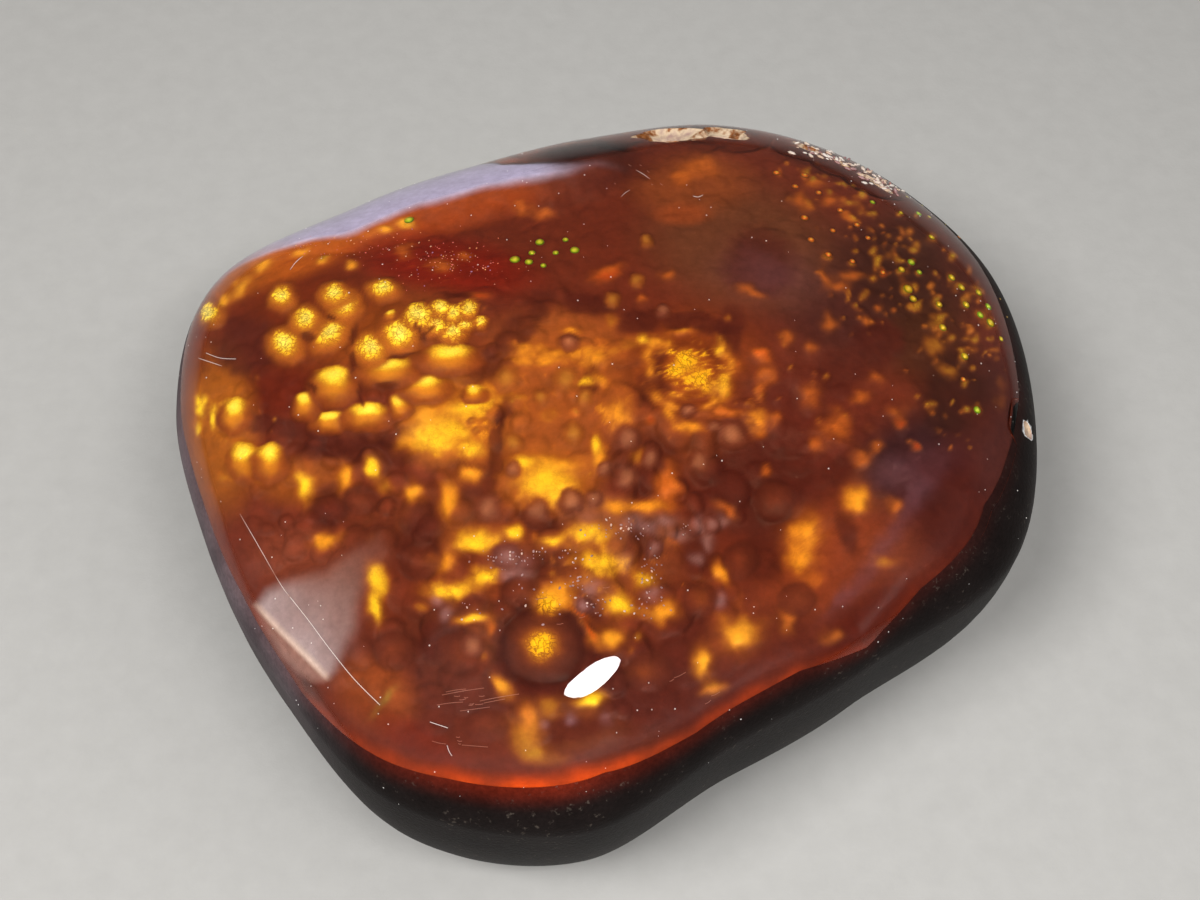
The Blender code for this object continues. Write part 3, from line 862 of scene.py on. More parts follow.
inStrip *= strip["least"] + (1 - strip["least"]) * smoothed(degrees, *strip["fullFrom"])
depth *= 1 - stripTurns * within(overStrip, *strip["sinksOver"])
chipDepth = np.zeros(len(firePoints))
for middle, halves, turn in chips["places"]:
    far = np.linalg.norm((firePoints - np.array(middle)) / (np.array(halves) + chips["around"]), axis=1)
    chipDepth = np.maximum(chipDepth, (min(halves) + chips["under"]) * within(far, *fades["chips"]))
depth = fire["skin"] + np.maximum(depth, chipDepth)

# where the camera sees each point of the layer through the clear stone
bent = (facing[:, None] * fireNormals - toEye) / stone["light"]
sine = np.clip(np.einsum("ij,ij->i", bent, bent), 0.0, 0.95)
inward = bent - fireNormals * np.sqrt(1 - sine)[:, None]
layerPoints = firePoints - fireNormals * depth[:, None]
seen = framePlace(layerPoints - inward * (depth / np.sqrt(1 - sine))[:, None])
noise.seed_set(fire["wanderSeed"])
wander, fineWander = (noiseOver(layerPoints, span, noise.noise_vector) for span in fire["wanderSpans"])
strayed, strayedSlightly = (seen + wander[:, :2] * coarse + fineWander[:, :2] * fine
                            for coarse, fine in (fire["wander"], fire["gentleWander"]))

ground = np.tile(linear(fire["ground"]), (len(seen), 1))
for *zone, colour, strength in groundZones:
    share = within(farFrom(seen, zone), *fades["ground"]) * strength * front
    ground = toward(ground, colour, share)
# painted shade: the hollows and folds are darkened toward the dark colour
for place in paintedShadePlaces:
    share = within(farFrom(strayed, place), *fades["dark"]) * fire["paintedShadeShare"] * front
    ground = toward(ground, fire["dark"], share)

plainGround = ground.copy()
glow = np.zeros(len(seen))
tint = np.tile(linear(fire["plainTint"]), (len(seen), 1))
crispness = np.zeros(len(seen))
relief = np.full(len(seen), -fire["valley"])


def paintPatch(near, colour, lit, crisp):
    under = glow[near] * (1 - lit)
    whole = np.maximum(lit + under, 1e-6)
    tint[near] = (linear(colour) * lit[:, None] + tint[near] * under[:, None]) / whole[:, None]
    glow[near] = lit + under
    crispness[near] += (crisp - crispness[near]) * lit
    relief[near] -= (fire["litHeight"] + relief[near]) * lit * fire["litFlattens"]


# a ball's ground runs from a painted highlight at the crown through its flank to painted shade at its edge
def paintShadedBall(near, share, cover, radius, shades, rise):
    paintedLitCrown, flank, edge = shades
    inner = within(share, *fire["paintedLitCrown"])[:, None]
    outer = smoothed(share, *fire["edge"])[:, None]
    shade = flank + (paintedLitCrown - flank) * inner
    shade = shade + (edge - shade) * outer
    ground[near] += (shade - ground[near]) * cover[:, None]
    glow[near] *= 1 - cover
    crispness[near] *= 1 - cover
    drop = min(radius, fire["tallest"]) * rise * (1 - np.sqrt(np.maximum(1 - share ** 2, 0.0)))
    relief[near] += (-drop - relief[near]) * cover


# the points that a spot reaches, and how brightly it lights them
def litSpot(places, spot, spread, strength, further=1.0):
    far = farFrom(places, spot)
    near = np.flatnonzero((far < fire["reach"] * further) & (front > fire["unseen"]))
    return near, np.exp(-(far[near] / spread) ** 2) * strength * front[near]


# the strongest share of the zones that reach each point
def zoneShare(zones, fade):
    share = np.zeros(len(seen))
    for *zone, strength in zones:
        share = np.maximum(share, within(farFrom(strayed, zone), *fade) * strength)
    return share * front


# for uneven cells on the layer: how far inside its cell each point lies, and the cell's own number
def cellsAt(near, size, straying):
    places = layerPoints[near] + fineWander[near] * straying
    cells = [noise.voronoi(Vector(place) / size) for place in places]
    gap = np.array([reaches[1] - reaches[0] for reaches, spots in cells])
    return gap, np.array([noise.noise(spots[0] * 3.7) for reaches, spots in cells])


def cellLight(near, size, line):
    gap, lively = cellsAt(near, size, 0.07)
    return smoothed(gap, *line) * np.clip(0.45 + 1.5 * lively, 0.0, 1.0)


dice = random.Random(fillers["seed"])
openPlaces = np.flatnonzero(onDome & (fireAbove > 0.5) & (inStrip < 0.1))
wandered = layerPoints + wander * fillers["stray"]
centres = np.zeros((1, 3))
for _ in range(fillers["tries"]):
    index = openPlaces[dice.randrange(len(openPlaces))]
    radius = dice.uniform(*fillers["radius"])
    colour = dice.choice(fillers["tones"])
    away = (seen[index] - np.array(fillers["livelyPlace"])) / np.array(fillers["livelySize"])
    lively = within(np.hypot(*away), *fillers["livelyEdge"])
    lively = fillers["quiet"] + (1 - fillers["quiet"]) * max(float(lively), 1 - front[index])
    contrast = dice.uniform(*fillers["contrast"]) * lively
    brightness = dice.uniform(*fillers["brightness"])
    if np.linalg.norm(centres - layerPoints[index], axis=1).min() < radius * fillers["apart"]:
        continue
    centres = np.vstack((centres, layerPoints[index]))
    far = np.linalg.norm(wandered - wandered[index], axis=1) / radius
    near = np.flatnonzero((far < 1.0) & onDome)
    base = plainGround[near]
    cover = within(far[near], *fillers["cover"]) * contrast
    # painted highlight at the crown and painted shade at the edge of each plain bubble
    shades = (base * fillers["paintedLitCrown"], base, base * fillers["edge"])
    paintShadedBall(near, far[near], cover, radius, shades, fillers["rise"])
    lit = within(far[near], *fillers["lit"]) * (1 - front[near]) * brightness
    paintPatch(near, colour, lit, fillers["crisp"])
print("plain bubbles on the layer:", len(centres) - 1)

for kind in cellKinds:
    share = zoneShare(kind["zones"], fades["cells"])
    near = np.flatnonzero(share > 0.02)
    lit = cellLight(near, kind["size"], kind["line"]) * share[near]
    paintPatch(near, kind["colour"], lit, kind["crisp"])

for kind in patchKinds:
    for spot in kind["spots"]:
        x, y, wide, high, turn = fullSpot(spot)
        places = strayedSlightly if min(wide, high) < 6 else strayed
        if "halo" in kind:
            near, lit = litSpot(places, spot, kind["wide"], kind["faint"], 1.5)
            paintPatch(near, kind["halo"], lit, 0.0)
        core = (x, y + high * kind.get("core", 0.0), wide, high, turn)
        near, lit = litSpot(places, core, kind["spread"], kind["strength"])
        if kind.get("haze"):
            ground[near] = toward(ground[near], kind["colour"], lit)
        else:
            paintPatch(near, kind["colour"], lit, kind["crisp"])

dice = random.Random(sparks["seed"])
for x, y, wide, high, turn, count in sparks["beds"]:
    angle = math.radians(turn)
    for _ in range(count):
        along, beside = dice.gauss(0.0, wide * 0.5), dice.gauss(0.0, high * 0.5)
        size = dice.uniform(*sparks["size"])
        colour = dice.choice(sparks["tones"])
        strength = dice.uniform(*sparks["strength"])
        spot = (x + along * math.cos(angle) - beside * math.sin(angle),
                y + along * math.sin(angle) + beside * math.cos(angle),
                size, size * dice.uniform(*sparks["squash"]), dice.uniform(0.0, 180.0))
        near, lit = litSpot(seen, spot, 1.0, strength)
        paintPatch(near, colour, lit, sparks["crisp"])

crumbled = zoneShare(crumbs["zones"], fades["crumbs"])
near = np.flatnonzero(crumbled > 0.02)
gap, lively = cellsAt(near, crumbs["size"], 0.09)
kept = 1 - crumbs["depth"] * within(gap, *crumbs["line"])
kept *= crumbs["lively"][0] + crumbs["lively"][1] * lively
glow[near] *= 1 + (np.clip(kept, *crumbs["kept"]) - 1) * crumbled[near]

# balls nearer the top of the view lie over the ones below them
ballList = [(spot, kind) for kind in ballKinds for spot in kind["spots"]]
ballList.sort(key=lambda ball: (ball[1]["order"], -ball[0][1]))
for spot, kind in ballList:
    x, y, wide, high, turn = fullSpot(spot)
    bigger = (x, y + high * kind["lower"], wide * kind["ball"], high * kind["ball"], turn)
    far = farFrom(strayedSlightly, bigger)
    near = np.flatnonzero((far < 1.0) & (front > fire["unseen"]))
    cover = within(far[near], 1 - kind["soft"], 1.0) * kind["opacity"] * front[near]
    shades = [linear(kind[name]) for name in ("paintedLitCrown", "flank", "edge")]
    radius = min(bigger[2:4]) / fire["pixelsPerMm"]
    paintShadedBall(near, far[near], cover, radius, shades, kind.get("rise", 1.0))
    if "cap" in kind:
        capFar = farFrom(strayedSlightly[near], spot)
        lit = np.exp(-(capFar / kind["spread"]) ** 2) * kind["strength"] * front[near]
        lit *= smoothed(1 - far[near], 0.0, kind["clip"])
        paintPatch(near, kind["cap"], lit, kind["crisp"])
        # a painted highlight at the centre of each cap
        lit = lit * np.exp(-(capFar / fire["paintedHighlight"][0]) ** 2) * fire["paintedHighlight"][1]
        paintPatch(near, kind["paintedHighlight"], lit, kind["crisp"] * fire["paintedHighlightCrisp"])
# painted shade in the seams between balls, which also dims their glow
for place in paintedShadeSeams:
    dark = within(farFrom(strayedSlightly, place), *fades["seamShade"]) * fire["seamShadeShare"] * front
    ground = toward(ground, fire["seamShade"], dark)
    glow *= 1 - dark
far = farFrom(strayedSlightly, rose["spot"])
near = np.flatnonzero((far < 1.25) & (front > fire["unseen"]))
lit = np.minimum(cellLight(near, rose["size"], rose["line"]) * rose["brighter"], 1.0)
paintPatch(near, rose["colour"], lit * within(far[near], *fades["rose"]) * front[near], rose["crisp"])
for spot in crackledGold:
    for colour, spread, strength, crisp in rose["crackles"]:
        near, lit = litSpot(strayedSlightly, spot, spread, strength)
        paintPatch(near, colour, lit, crisp)
print("balls and patches read:", len(ballList) + sum(len(kind["spots"]) for kind in patchKinds))

# the rim, the strip and the white patch are calm: no bubbles rise there
calm = smoothed(fireAbove, *rim["calmHigh"]) * (1 - inStrip)
calm *= 1 - smoothed(inPatch, *whitePatch["calms"]) * front
relief = relief * calm
ground = plainGround + (ground - plainGround) * calm[:, None]

# painted glow: the rim line, where the clear stone meets the dark side, is coloured red as though lit from
# inside, unevenly round the stone
paintedGlowHeight = fireAbove + wander[:, 2] * rim["paintedGlowStray"]
paintedGlowShare = within(paintedGlowHeight, 0.0, rim["paintedGlowHigh"]) ** rim["paintedGlowCurve"] * (1 - stripTurns)
paintedGlowShare *= roundStone(glowPaintByAngle, fireTurns)
circle = np.column_stack((np.cos(fireTurns), np.sin(fireTurns), np.full(len(fireTurns), 0.3)))
middle, byRim, byPlace = rim["uneven"]
uneven = middle + byRim * noiseOver(circle, 1 / rim["noiseScale"]) + byPlace * wander[:, 1]
paintedGlowShare *= np.clip(uneven, *rim["glowRange"])
brownShare = within(fireAbove + wander[:, 0] * rim["brownStray"], *rim["brownHigh"]) * (1 - stripTurns)
ground = toward(ground, rim["brown"], brownShare * rim["brownShare"])
ground = toward(ground, rim["ember"], np.clip(paintedGlowShare, 0.0, 1.0) * rim["paintedGlowShare"])
ground = toward(ground, strip["colour"], inStrip)

# the white patch: its edge grows ragged and soft, and its cover thin, toward the tip
patchLength = alongPatch(seen + wander[:, :2] * whitePatch["stray"])
patchWay = patchLength / whitePatch["length"]
patchEdge = inPatch + wander[:, 0] * whitePatch["ragged"] * patchWay
startsAt, fullAt = (foot + more * patchWay for foot, more in whitePatch["edge"])
covered, lessAtTip = whitePatch["cover"]
patchShare = smoothed(patchEdge, startsAt, fullAt) * (covered - lessAtTip * patchWay) * front
patchShare *= whitePatch["plain"] + whitePatch["cloudy"] * np.clip(wander[:, 2], *whitePatch["clouds"])
stops = sorted(whitePatch["tones"])
patchTones = np.array([linear(whitePatch["tones"][stop]) for stop in stops])
patchColour = np.column_stack([np.interp(patchLength, stops, patchTones[:, i]) for i in range(3)])
ground = ground + (patchColour - ground) * patchShare[:, None]
glow = glow * (1 - patchShare) * (1 - inStrip) * smoothed(fireAbove, *rim["dimHigh"])

# finish of the layer: crisp places break into facets with dark lines, soft ones fade, and the rim line gives
# off a painted glow
facets = {"cloudScale": 1300.0, "mottleScale": 3600.0, "grainScale": 9000.0, "warpScale": 3000.0,
          "warp": (0.0006, 0.0006, 0.0006), "scale": 4600.0, "lineWide": 0.16, "fringe": tone(184, 100, 28),
          "paintedGlowLight": tone(255, 70, 10), "paintedGlowStrength": 0.05, "unlit": (0.0, 0.0, 0.0, 1.0),
          "roughness": 0.36, "shine": 0.06, "metal": 0.12, "bump": 0.6, "bumpDepth": 0.00007}


def fireFinish(web):
    glowField, crisp = web.field("glow"), web.field("crispness")
    clouds = web.speckle(facets["cloudScale"], 5.0, 0.6)
    mottle = web.speckle(facets["mottleScale"], 4.0, 0.65)
    grain = web.speckle(facets["grainScale"], 3.0, 0.7)
    warped = web.speckle(facets["warpScale"], 3.0, 0.5, "Color")
    pushed = web.node("ShaderNodeVectorMath", {"operation": "MULTIPLY_ADD"},
                      {0: warped, 1: facets["warp"], 2: web.place()})
    cell = {"Vector": pushed, "Scale": facets["scale"]}
    facetEdge = web.node("ShaderNodeTexVoronoi", {"feature": "DISTANCE_TO_EDGE"}, cell, "Distance")
    facet = web.node("ShaderNodeTexVoronoi", None, cell, "Color")
    facetTone = web.node("ShaderNodeSeparateColor", None, {"Color": facet}, "Red")
    line = 1.0 - web.between(facetEdge, 0.0, facets["lineWide"])
    shade = (0.75 + 0.5 * clouds) * (0.72 + 0.56 * mottle)
    mottled = web.scaled(web.field("ground", "Color"), shade)
    broken = glowField * 1.25 - line * 0.35 + (facetTone - 0.5) * 0.35 + (grain - 0.5) * 0.2
    crispEdge = web.between(broken, 0.3, 0.85)
    softEdge = web.between(glowField * (0.7 + 0.3 * clouds + 0.3 * mottle), 0.03, 0.95)
    edge = web.mixed(crisp, softEdge, crispEdge)
    crispLit = (0.82 + 0.55 * facetTone) * (1.0 - 0.62 * line) + (grain - 0.5) * 0.5
    lit = web.mixed(crisp, 0.6 + 0.4 * clouds + 0.4 * mottle, crispLit)
    tinted = web.scaled(web.field("tint", "Color"), lit)
    fringed = web.blend(edge, facets["fringe"], tinted)
    height = clouds * 0.3 + mottle * 0.3 + grain * (0.1 + crisp * 0.3) - line * crisp * 0.8
    return {"Surface": web.principled(web.blend(edge, mottled, fringed), facets["roughness"], {
        "Specular IOR Level": facets["shine"], "Metallic": edge * facets["metal"],
        "Normal": web.bumped(height, facets["bump"], facets["bumpDepth"]),
        # painted glow: a little emission along the rim line
        "Emission Color": web.blend(web.field("ember"), facets["unlit"], facets["paintedGlowLight"]),
        "Emission Strength": facets["paintedGlowStrength"]})}


bubbleTops = layerPoints + fireNormals * np.minimum(relief, 0.0)[:, None]
fireLayer = newPiece("fireLayer", bubbleTops, (), fireFaces, newMaterial("fireLayer", fireFinish))
for name, values in (("ground", ground), ("tint", tint)):
    storeField(fireLayer.data, name, "FLOAT_COLOR", values)
for name, values in (("glow", glow), ("crispness", crispness), ("ember", paintedGlowShare)):
    storeField(fireLayer.data, name, "FLOAT", values)
print("fire layer:", len(fireLayer.data.polygons), "faces")


# what repeats is made by Geometry Nodes: little balls, crystals, flakes, dust and scratches
def newSetup(name, labels):
    group = bpy.data.node_groups.new(name, "GeometryNodeTree")
    group.interface.new_socket("Geometry", in_out="INPUT", socket_type="NodeSocketGeometry")
    group.interface.new_socket("Geometry", in_out="OUTPUT", socket_type="NodeSocketGeometry")
    for label in labels:
        group.interface.new_socket(label, in_out="INPUT", socket_type="NodeSocketFloat")
    web = Web(group)
    entry = web.node("NodeGroupInput").socket.node
    return web, {item.name: Wire(web, item) for item in entry.outputs if item.name}


def named(web, name, kind):
    return web.node("GeometryNodeInputNamedAttribute", {"data_type": kind}, {"Name": name})


def endSetup(web, geometry, material):
    whole = web.node("GeometryNodeRealizeInstances", None, {"Geometry": geometry})
    smooth = web.node("GeometryNodeSetShadeSmooth", None, {"Geometry": whole})
    dressed = web.node("GeometryNodeSetMaterial", None, {"Geometry": smooth, "Material": material})
    web.node("NodeGroupOutput", None, {0: dressed})
    return web.tree


# an icosphere on each point, turned to its outward direction and drawn out or pressed flat along it
def ballSetup(name, material, detail):
    web, given = newSetup(name, ("Size", "Squash"))
    ball = web.node("GeometryNodeMeshIcoSphere", None, {"Radius": 1.0, "Subdivisions": detail})
    height = web.node("ShaderNodeSeparateXYZ", None, {0: web.node("GeometryNodeInputNormal")}, "Z")
    crest = web.node("GeometryNodeStoreNamedAttribute", {"data_type": "FLOAT", "domain": "POINT"},
                     {"Geometry": ball, "Name": "crest", "Value": height})
    turned = web.node("FunctionNodeAlignRotationToVector", {"axis": "Z"},
                      {"Vector": named(web, "outward", "FLOAT_VECTOR")})
    size = named(web, "size", "FLOAT") * given["Size"]
    scale = web.node("ShaderNodeCombineXYZ", None, {0: size, 1: size, 2: size * given["Squash"]})
    placed = web.node("GeometryNodeInstanceOnPoints", None, {
        "Points": given["Geometry"], "Instance": crest, "Rotation": turned, "Scale": scale})
    return endSetup(web, placed, material)


def scratchSetup(material):
    web, given = newSetup("scratchSetup", ("Width",))
    line = web.node("GeometryNodeMeshToCurve", None, {"Mesh": given["Geometry"]})
    profile = web.node("GeometryNodeCurvePrimitiveCircle", {"mode": "RADIUS"},
                       {"Resolution": 5, "Radius": given["Width"]})
    widened = web.node("GeometryNodeSetCurveRadius", None,
                       {"Curve": line, "Radius": named(web, "size", "FLOAT")})
    tube = web.node("GeometryNodeCurveToMesh", None,
                    {"Curve": widened, "Profile Curve": profile, "Fill Caps": True})
    return endSetup(web, tube, material)


def runSetup(piece, group, values):
    modifier = piece.modifiers.new(piece.name, "NODES")
    modifier.node_group = group
    sockets = {item.name: item.identifier for item in group.interface.items_tree if item.in_out == "INPUT"}
    for label, value in values.items():
        modifier[sockets[label]] = value
    return applied(piece)


# each seed is a place, its outward direction, its size and, where the finish needs one, its tint
def grown(name, seeds, finish, detail, squash):
    columns = list(zip(*seeds))
    piece = newPiece(name, columns[0])
    kinds = (("outward", "FLOAT_VECTOR"), ("size", "FLOAT"), ("tint", "FLOAT_COLOR"))
    for (label, kind), values in zip(kinds, columns[1:]):
        storeField(piece.data, label, kind, values)
    group = ballSetup(name + "Setup", newMaterial(name, finish), detail)
    return runSetup(piece, group, {"Size": mm, "Squash": squash})


# the top of the layer, and its normal, where the camera sees a place in the frame
def layerPlace(x, y):
    gap = np.where(front > 0.2, np.hypot(seen[:, 0] - x, seen[:, 1] - y), np.inf)
    index = int(np.argmin(gap))
    return bubbleTops[index], fireNormals[index]


# each dot darkens toward its foot as painted shade and carries a pale painted highlight at its crest
def dotFinish(web):
    crest, tintColour = web.field("crest"), web.field("tint", "Color")
    top = web.between(crest + (web.speckle(11000.0, 2.0) - 0.5) * 0.4, 0.1, 0.98)
    foot = web.node("ShaderNodeVectorMath", {"operation": "MULTIPLY"}, {0: tintColour, 1: dots["foot"]})
    core = web.between(crest, 0.86, 0.99) * 0.7
    colour = web.blend(core, web.blend(top, foot, tintColour), dots["core"])
    return {"Surface": web.principled(colour, 0.35, {"Metallic": 0.3})}


def crystalFinish(web):
    colour = web.blend(web.speckle(9000.0, 2.0) * 0.6, web.field("tint", "Color"), tone(206, 194, 210))
    return {"Surface": web.principled(colour, 0.25)}


def paleDust(web):
    return web.blend(web.speckle(16000.0, 2.0), tone(206, 200, 196), tone(246, 243, 240))


def dustFinish(web):
    return {"Surface": web.principled(paleDust(web), 0.7)}


def scratchFinish(web):
    wide = web.between(web.field("size"), 0.02, 0.7)
    return {"Surface": web.principled(web.blend(wide, tone(142, 92, 72), paleDust(web)), 0.7)}


# small dots with a bright green, yellow or orange crest, painted darker toward the foot as shade and with a
# pale painted highlight on the crest
dots = {"raised": 0.1, "squash": 0.8, "foot": (0.22, 0.4, 0.3), "core": tone(236, 230, 96), "spots": {
    (176, 206, 34): ((514, 256, 5), (529, 260, 4), (538, 240, 4.5), (530, 250, 3.5), (564, 237, 3),
        (573, 247, 4.5), (408, 219, 5), (913, 260, 4), (919, 214, 3.5), (873, 201, 3), (989, 307, 4),
        (981, 314, 4), (979, 409, 4), (921, 271, 3), (543, 262, 3), (556, 250, 3)),
    (226, 190, 30): ((901, 211, 2.5), (929, 216, 2.5), (924, 203, 3), (907, 197, 2), (903, 268, 3.5),
        (933, 237, 3.5), (940, 303, 3.5), (947, 223, 3), (910, 288, 5), (916, 296, 4), (962, 286, 4),
        (979, 292, 4), (990, 323, 5), (1001, 338, 3), (968, 304, 4), (944, 327, 4), (953, 277, 4),
        (966, 355, 4)),
    (226, 120, 36): ((962, 235, 3.5), (885, 271, 3), (853, 260, 3), (829, 253, 3.5), (778, 170, 4),
        (805, 173, 4), (1005, 297, 3), (1011, 316, 3), (966, 379, 3), (820, 190, 3.5), (842, 208, 3.5),
        (858, 222, 3.5), (870, 236, 3), (806, 214, 4), (796, 184, 3.5), (812, 238, 3.5), (833, 228, 3))}}

# tiny crystals in the hollows: x, y, half width, half height, count
druse = {"seed": 11, "size": (0.012, 0.042), "redSize": (0.4, 1.0), "lift": 0.03, "squash": 1.6,
         "redAbove": 300, "tones": ((140, 116, 146), (164, 146, 176), (112, 90, 124), (222, 214, 232)),
         "redTones": ((240, 130, 50), (235, 200, 160), (220, 70, 30), (150, 110, 200), (200, 90, 40),
         (240, 170, 60)), "beds": ((515, 558, 34, 14, 40), (598, 604, 14, 9, 16), (575, 582, 16, 10, 18),
         (652, 572, 12, 30, 26), (620, 530, 36, 12, 34), (686, 527, 12, 8, 8), (640, 606, 30, 12, 14),
         (560, 556, 30, 8, 16), (450, 258, 62, 24, 150), (370, 242, 44, 14, 50), (312, 250, 30, 8, 30),
         (540, 600, 40, 30, 16), (470, 605, 26, 14, 8))}

# pale flakes along the broken far rim, and the line that they follow in the camera's frame
crust = {"way": ((800, 147), (836, 160), (862, 170), (881, 183), (899, 192)), "count": 110, "spread": 3.2,
         "size": (0.03, 0.085), "tones": ((240, 228, 206), (214, 176, 128), (236, 214, 184), (150, 84, 44)),
         "seed": 23, "squash": 2.6}

dust = {"count": 340, "size": (0.012, 0.034), "lift": 0.004, "onSide": 0.3, "squash": 0.5}

print("growing balls, crystals and dust")
seeds = []
for colour, spots in dots["spots"].items():
    for x, y, radius in spots:
        place, normal = layerPlace(x, y)
        size = radius / fire["pixelsPerMm"]
        seeds.append((place + normal * size * dots["raised"], normal, size, tone(*colour)))
dotPiece = grown("greenDots", seeds, dotFinish, 3, dots["squash"])

dice = random.Random(druse["seed"])
seeds = []
for x, y, wide, high, count in druse["beds"]:
    red = y < druse["redAbove"]
    for _ in range(count):
        place, normal = layerPlace(dice.gauss(x, wide * 0.5), dice.gauss(y, high * 0.5))
        outward = (dice.uniform(-1, 1), dice.uniform(-1, 1), dice.uniform(-1, 1))
        size = dice.uniform(*druse["size"]) * (dice.uniform(*druse["redSize"]) if red else 1.0)
        colour = dice.choice(druse["redTones"] if red else druse["tones"])
        seeds.append((place + normal * druse["lift"], outward, size, tone(*colour)))
crystalPiece = grown("druseCrystals", seeds, crystalFinish, 1, druse["squash"])

dice = random.Random(crust["seed"])
seeds = []
for _ in range(crust["count"]):
    along = dice.uniform(0.0, len(crust["way"]) - 1.001)
    start, end = (np.array(point, dtype=float) for point in crust["way"][int(along):int(along) + 2])
    stray = np.array((dice.gauss(0, 1), dice.gauss(0, 1))) * crust["spread"]
    middle = start + (end - start) * (along - int(along)) + stray
    place, normal = onStone(*middle)
    further, normal = onStone(*(middle + (end - start) * 0.1))
    if place is None or further is None:
        continue
    outward = further - place + np.array((dice.uniform(-0.1, 0.1), dice.uniform(-0.1, 0.1), 0.0))
    seeds.append((place, outward, dice.uniform(*crust["size"]), tone(*dice.choice(crust["tones"]))))
crustPiece = grown("crustFlakes", seeds, crystalFinish, 1, crust["squash"])

seeds = []
shellNormals = meshNormals(clearPoints, clearFaces)
for _ in range(dust["count"]):
    index = dice.randrange(len(shellGrid["turns"]))
    if fromLine[index] < 0 and dice.random() > dust["onSide"]:
        continue
    place = clearPoints[index] + shellNormals[index] * dust["lift"]
    seeds.append((place, shellNormals[index], dice.uniform(*dust["size"])))
dustPiece = grown("dustSpecks", seeds, dustFinish, 1, dust["squash"])

# scratches on the polish: ends and bends in the camera's frame, then the width of each against the plain one
scratches = [
    (((240, 514), (258, 545), (275, 575)), 0.5),
    (((290, 597), (309, 621), (329, 648), (354, 679), (380, 705)), 1.9),
    (((275, 575), (283, 588), (290, 597)), 0.5), (((430, 722), (439, 725), (448, 728)), 1.8),
    (((693, 196), (698, 197), (703, 195)), 0.9), (((621, 197), (625, 193), (630, 190)), 0.45),
    (((206, 353), (220, 358), (236, 359)), 1.6), (((290, 270), (296, 262), (303, 256)), 0.8),
    # the short strokes at 198 to 236 across and 353 to 366 down mark a small fracture on the left shoulder;
    # their pale colour is a painted glint
    (((198, 358), (210, 362), (222, 366)), 0.8), (((636, 170), (643, 174), (650, 179)), 0.45),
    (((447, 745), (449, 751), (452, 756)), 1.2), (((442, 695), (463, 691), (484, 688)), 0.12),
    (((446, 692), (456, 690), (466, 689)), 0.07), (((437, 705), (450, 703), (463, 702)), 0.09),
    (((480, 701), (500, 697), (519, 694)), 0.13), (((484, 703), (494, 701), (505, 699)), 0.07),
    (((460, 711), (475, 709), (490, 707)), 0.09), (((432, 741), (439, 743), (446, 744)), 0.08),
    (((462, 745), (475, 746), (488, 747)), 0.08)]

# beds of fine scratches: x, y, half width, half height, turn, length, count
fineScratches = {"seed": 29, "plain": 0.011, "widths": (0.04, 0.11), "turns": 7.0, "evenAbove": 0.4,
    "uneven": (0.3, 1.4), "beds": ((478, 699, 38, 10, -7, 12, 7), (465, 742, 26, 7, 4, 8, 3),
    (640, 175, 26, 10, 30, 3.5, 6), (700, 690, 30, 16, -30, 14, 4), (560, 600, 60, 30, -10, 12, 4))}

dice = random.Random(fineScratches["seed"])
for x, y, wide, high, turn, length, count in fineScratches["beds"]:
    for _ in range(count):
        startX, startY = x + dice.uniform(-wide, wide), y + dice.uniform(-high, high)
        angle = math.radians(turn + dice.uniform(-fineScratches["turns"], fineScratches["turns"]))
        reach = length * dice.uniform(0.25, 1.0) / 2
        across, down = math.cos(angle) * reach, math.sin(angle) * reach
        way = ((startX - across, startY - down), (startX, startY + 0.5), (startX + across, startY + down))
        scratches.append((way, dice.uniform(*fineScratches["widths"])))


def throughPoints(way, along):
    first = min(int(along), len(way) - 2)
    spots = [min(max(first + shift, 0), len(way) - 1) for shift in (-1, 0, 1, 2)]
    return curveThrough(*(np.array(way[spot], dtype=float) for spot in spots), along - first)


places, edges, sizes = [], [], []
for way, width in scratches:
    if any(onStone(*point)[0] is None for point in way):
        continue
    steps = 5 * len(way)
    for i in range(steps):
        place, normal = onStone(*throughPoints(way, i / (steps - 1) * (len(way) - 1)))
        if i:
            edges.append((len(places) - 1, len(places)))
        places.append(place)
        unevenness = 1.0 if width > fineScratches["evenAbove"] else dice.uniform(*fineScratches["uneven"])
        sizes.append(width * (0.25 + 0.75 * math.sin(math.pi * i / (steps - 1))) * unevenness)
scratchPiece = newPiece("polishScratches", places, edges)
storeField(scratchPiece.data, "size", "FLOAT", sizes)
runSetup(scratchPiece, scratchSetup(newMaterial("polishScratches", scratchFinish)),
         {"Width": fineScratches["plain"] * mm})
for piece in (dotPiece, crystalPiece, crustPiece, dustPiece, scratchPiece):
    print(piece.name, len(piece.data.polygons), "faces")

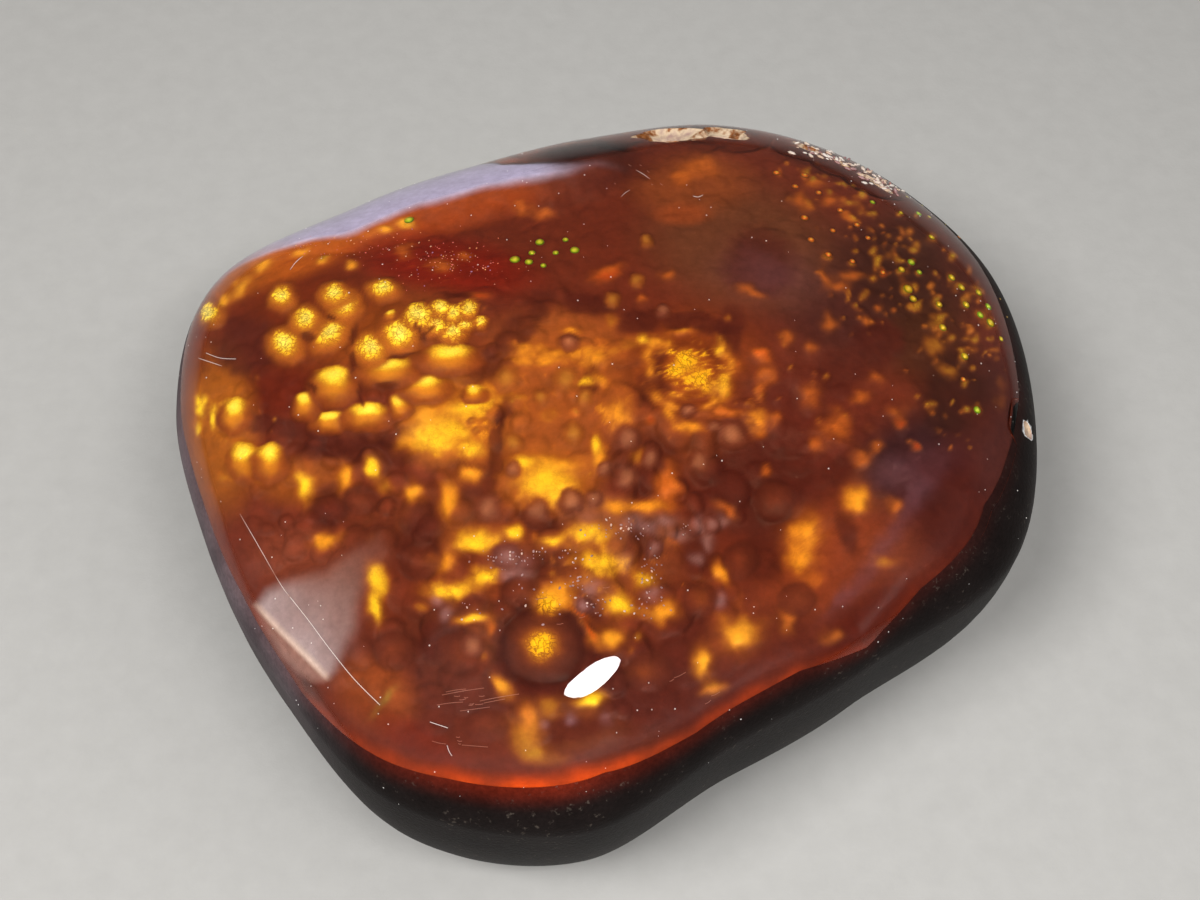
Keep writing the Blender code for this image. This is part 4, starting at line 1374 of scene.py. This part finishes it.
# floor, lamps and surroundings, in metres and watts
studio = {"floorSize": 1.6, "floorDark": tone(186, 184, 180), "floorPale": tone(198, 196, 192),
          "worldColour": (1.0, 0.98, 0.96, 1.0), "worldStrength": 0.08}
lamps = {"keyLamp": {"watts": 0.25, "wide": 0.08, "high": 0.08, "turn": 0.0, "place": (-0.075, -0.06, 0.16),
                     "aim": (0.0, 0.0, 0.008), "mirrored": False},
         "fillLamp": {"watts": 0.15, "wide": 0.25, "high": 0.25, "turn": 0.0, "place": (0.14, 0.0, 0.2),
                      "aim": (0.0, 0.0, 0.008), "mirrored": False},
         "glintLamp": {"watts": 0.024, "wide": 0.034, "high": 0.0104, "turn": 14.6,
                       "place": (0.0158, -0.0388, 0.0785), "aim": (0.0, -0.011, 0.012), "mirrored": True}}


def floorFinish(web):
    mottle = web.speckle(900.0, 4.0, 0.6)
    colour = web.blend(mottle, studio["floorDark"], studio["floorPale"])
    return {"Surface": web.principled(colour, 0.8, {"Normal": web.bumped(mottle, 0.3, 0.0001)})}


half = studio["floorSize"] / mm / 2
corners = ((-half, -half, 0.0), (half, -half, 0.0), (half, half, 0.0), (-half, half, 0.0))
floor = newPiece("paleFloor", corners, (), ((0, 1, 2, 3),), newMaterial("paleFloor", floorFinish), False)


def newLamp(name, lamp):
    data = bpy.data.lights.new(name, "AREA")
    data.shape = "ELLIPSE"
    data.energy = lamp["watts"]
    data.size = lamp["wide"]
    data.size_y = lamp["high"]
    back = (Vector(lamp["place"]) - Vector(lamp["aim"])).normalized()
    right = (Vector((1.0, 0.0, 0.0)) - back * back.x).normalized()
    over = back.cross(right)
    angle = math.radians(lamp["turn"])
    axes = (right * math.cos(angle) + over * math.sin(angle),
            over * math.cos(angle) - right * math.sin(angle), back)
    lit = bpy.data.objects.new(name, data)
    lit.matrix_world = Matrix.Translation(lamp["place"]) @ Matrix(axes).transposed().to_4x4()
    lit.visible_glossy = lamp["mirrored"]
    bpy.context.scene.collection.objects.link(lit)


for name, lamp in lamps.items():
    newLamp(name, lamp)

surroundings = bpy.data.worlds.new("studio")
surroundings.use_nodes = True
backdrop = surroundings.node_tree.nodes["Background"]
backdrop.inputs["Color"].default_value = studio["worldColour"]
backdrop.inputs["Strength"].default_value = studio["worldStrength"]
bpy.context.scene.world = surroundings

for piece in (clearStone, fireLayer, dotPiece, crustPiece, crystalPiece, dustPiece, scratchPiece):
    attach(piece, "root")
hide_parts("fire_agate")
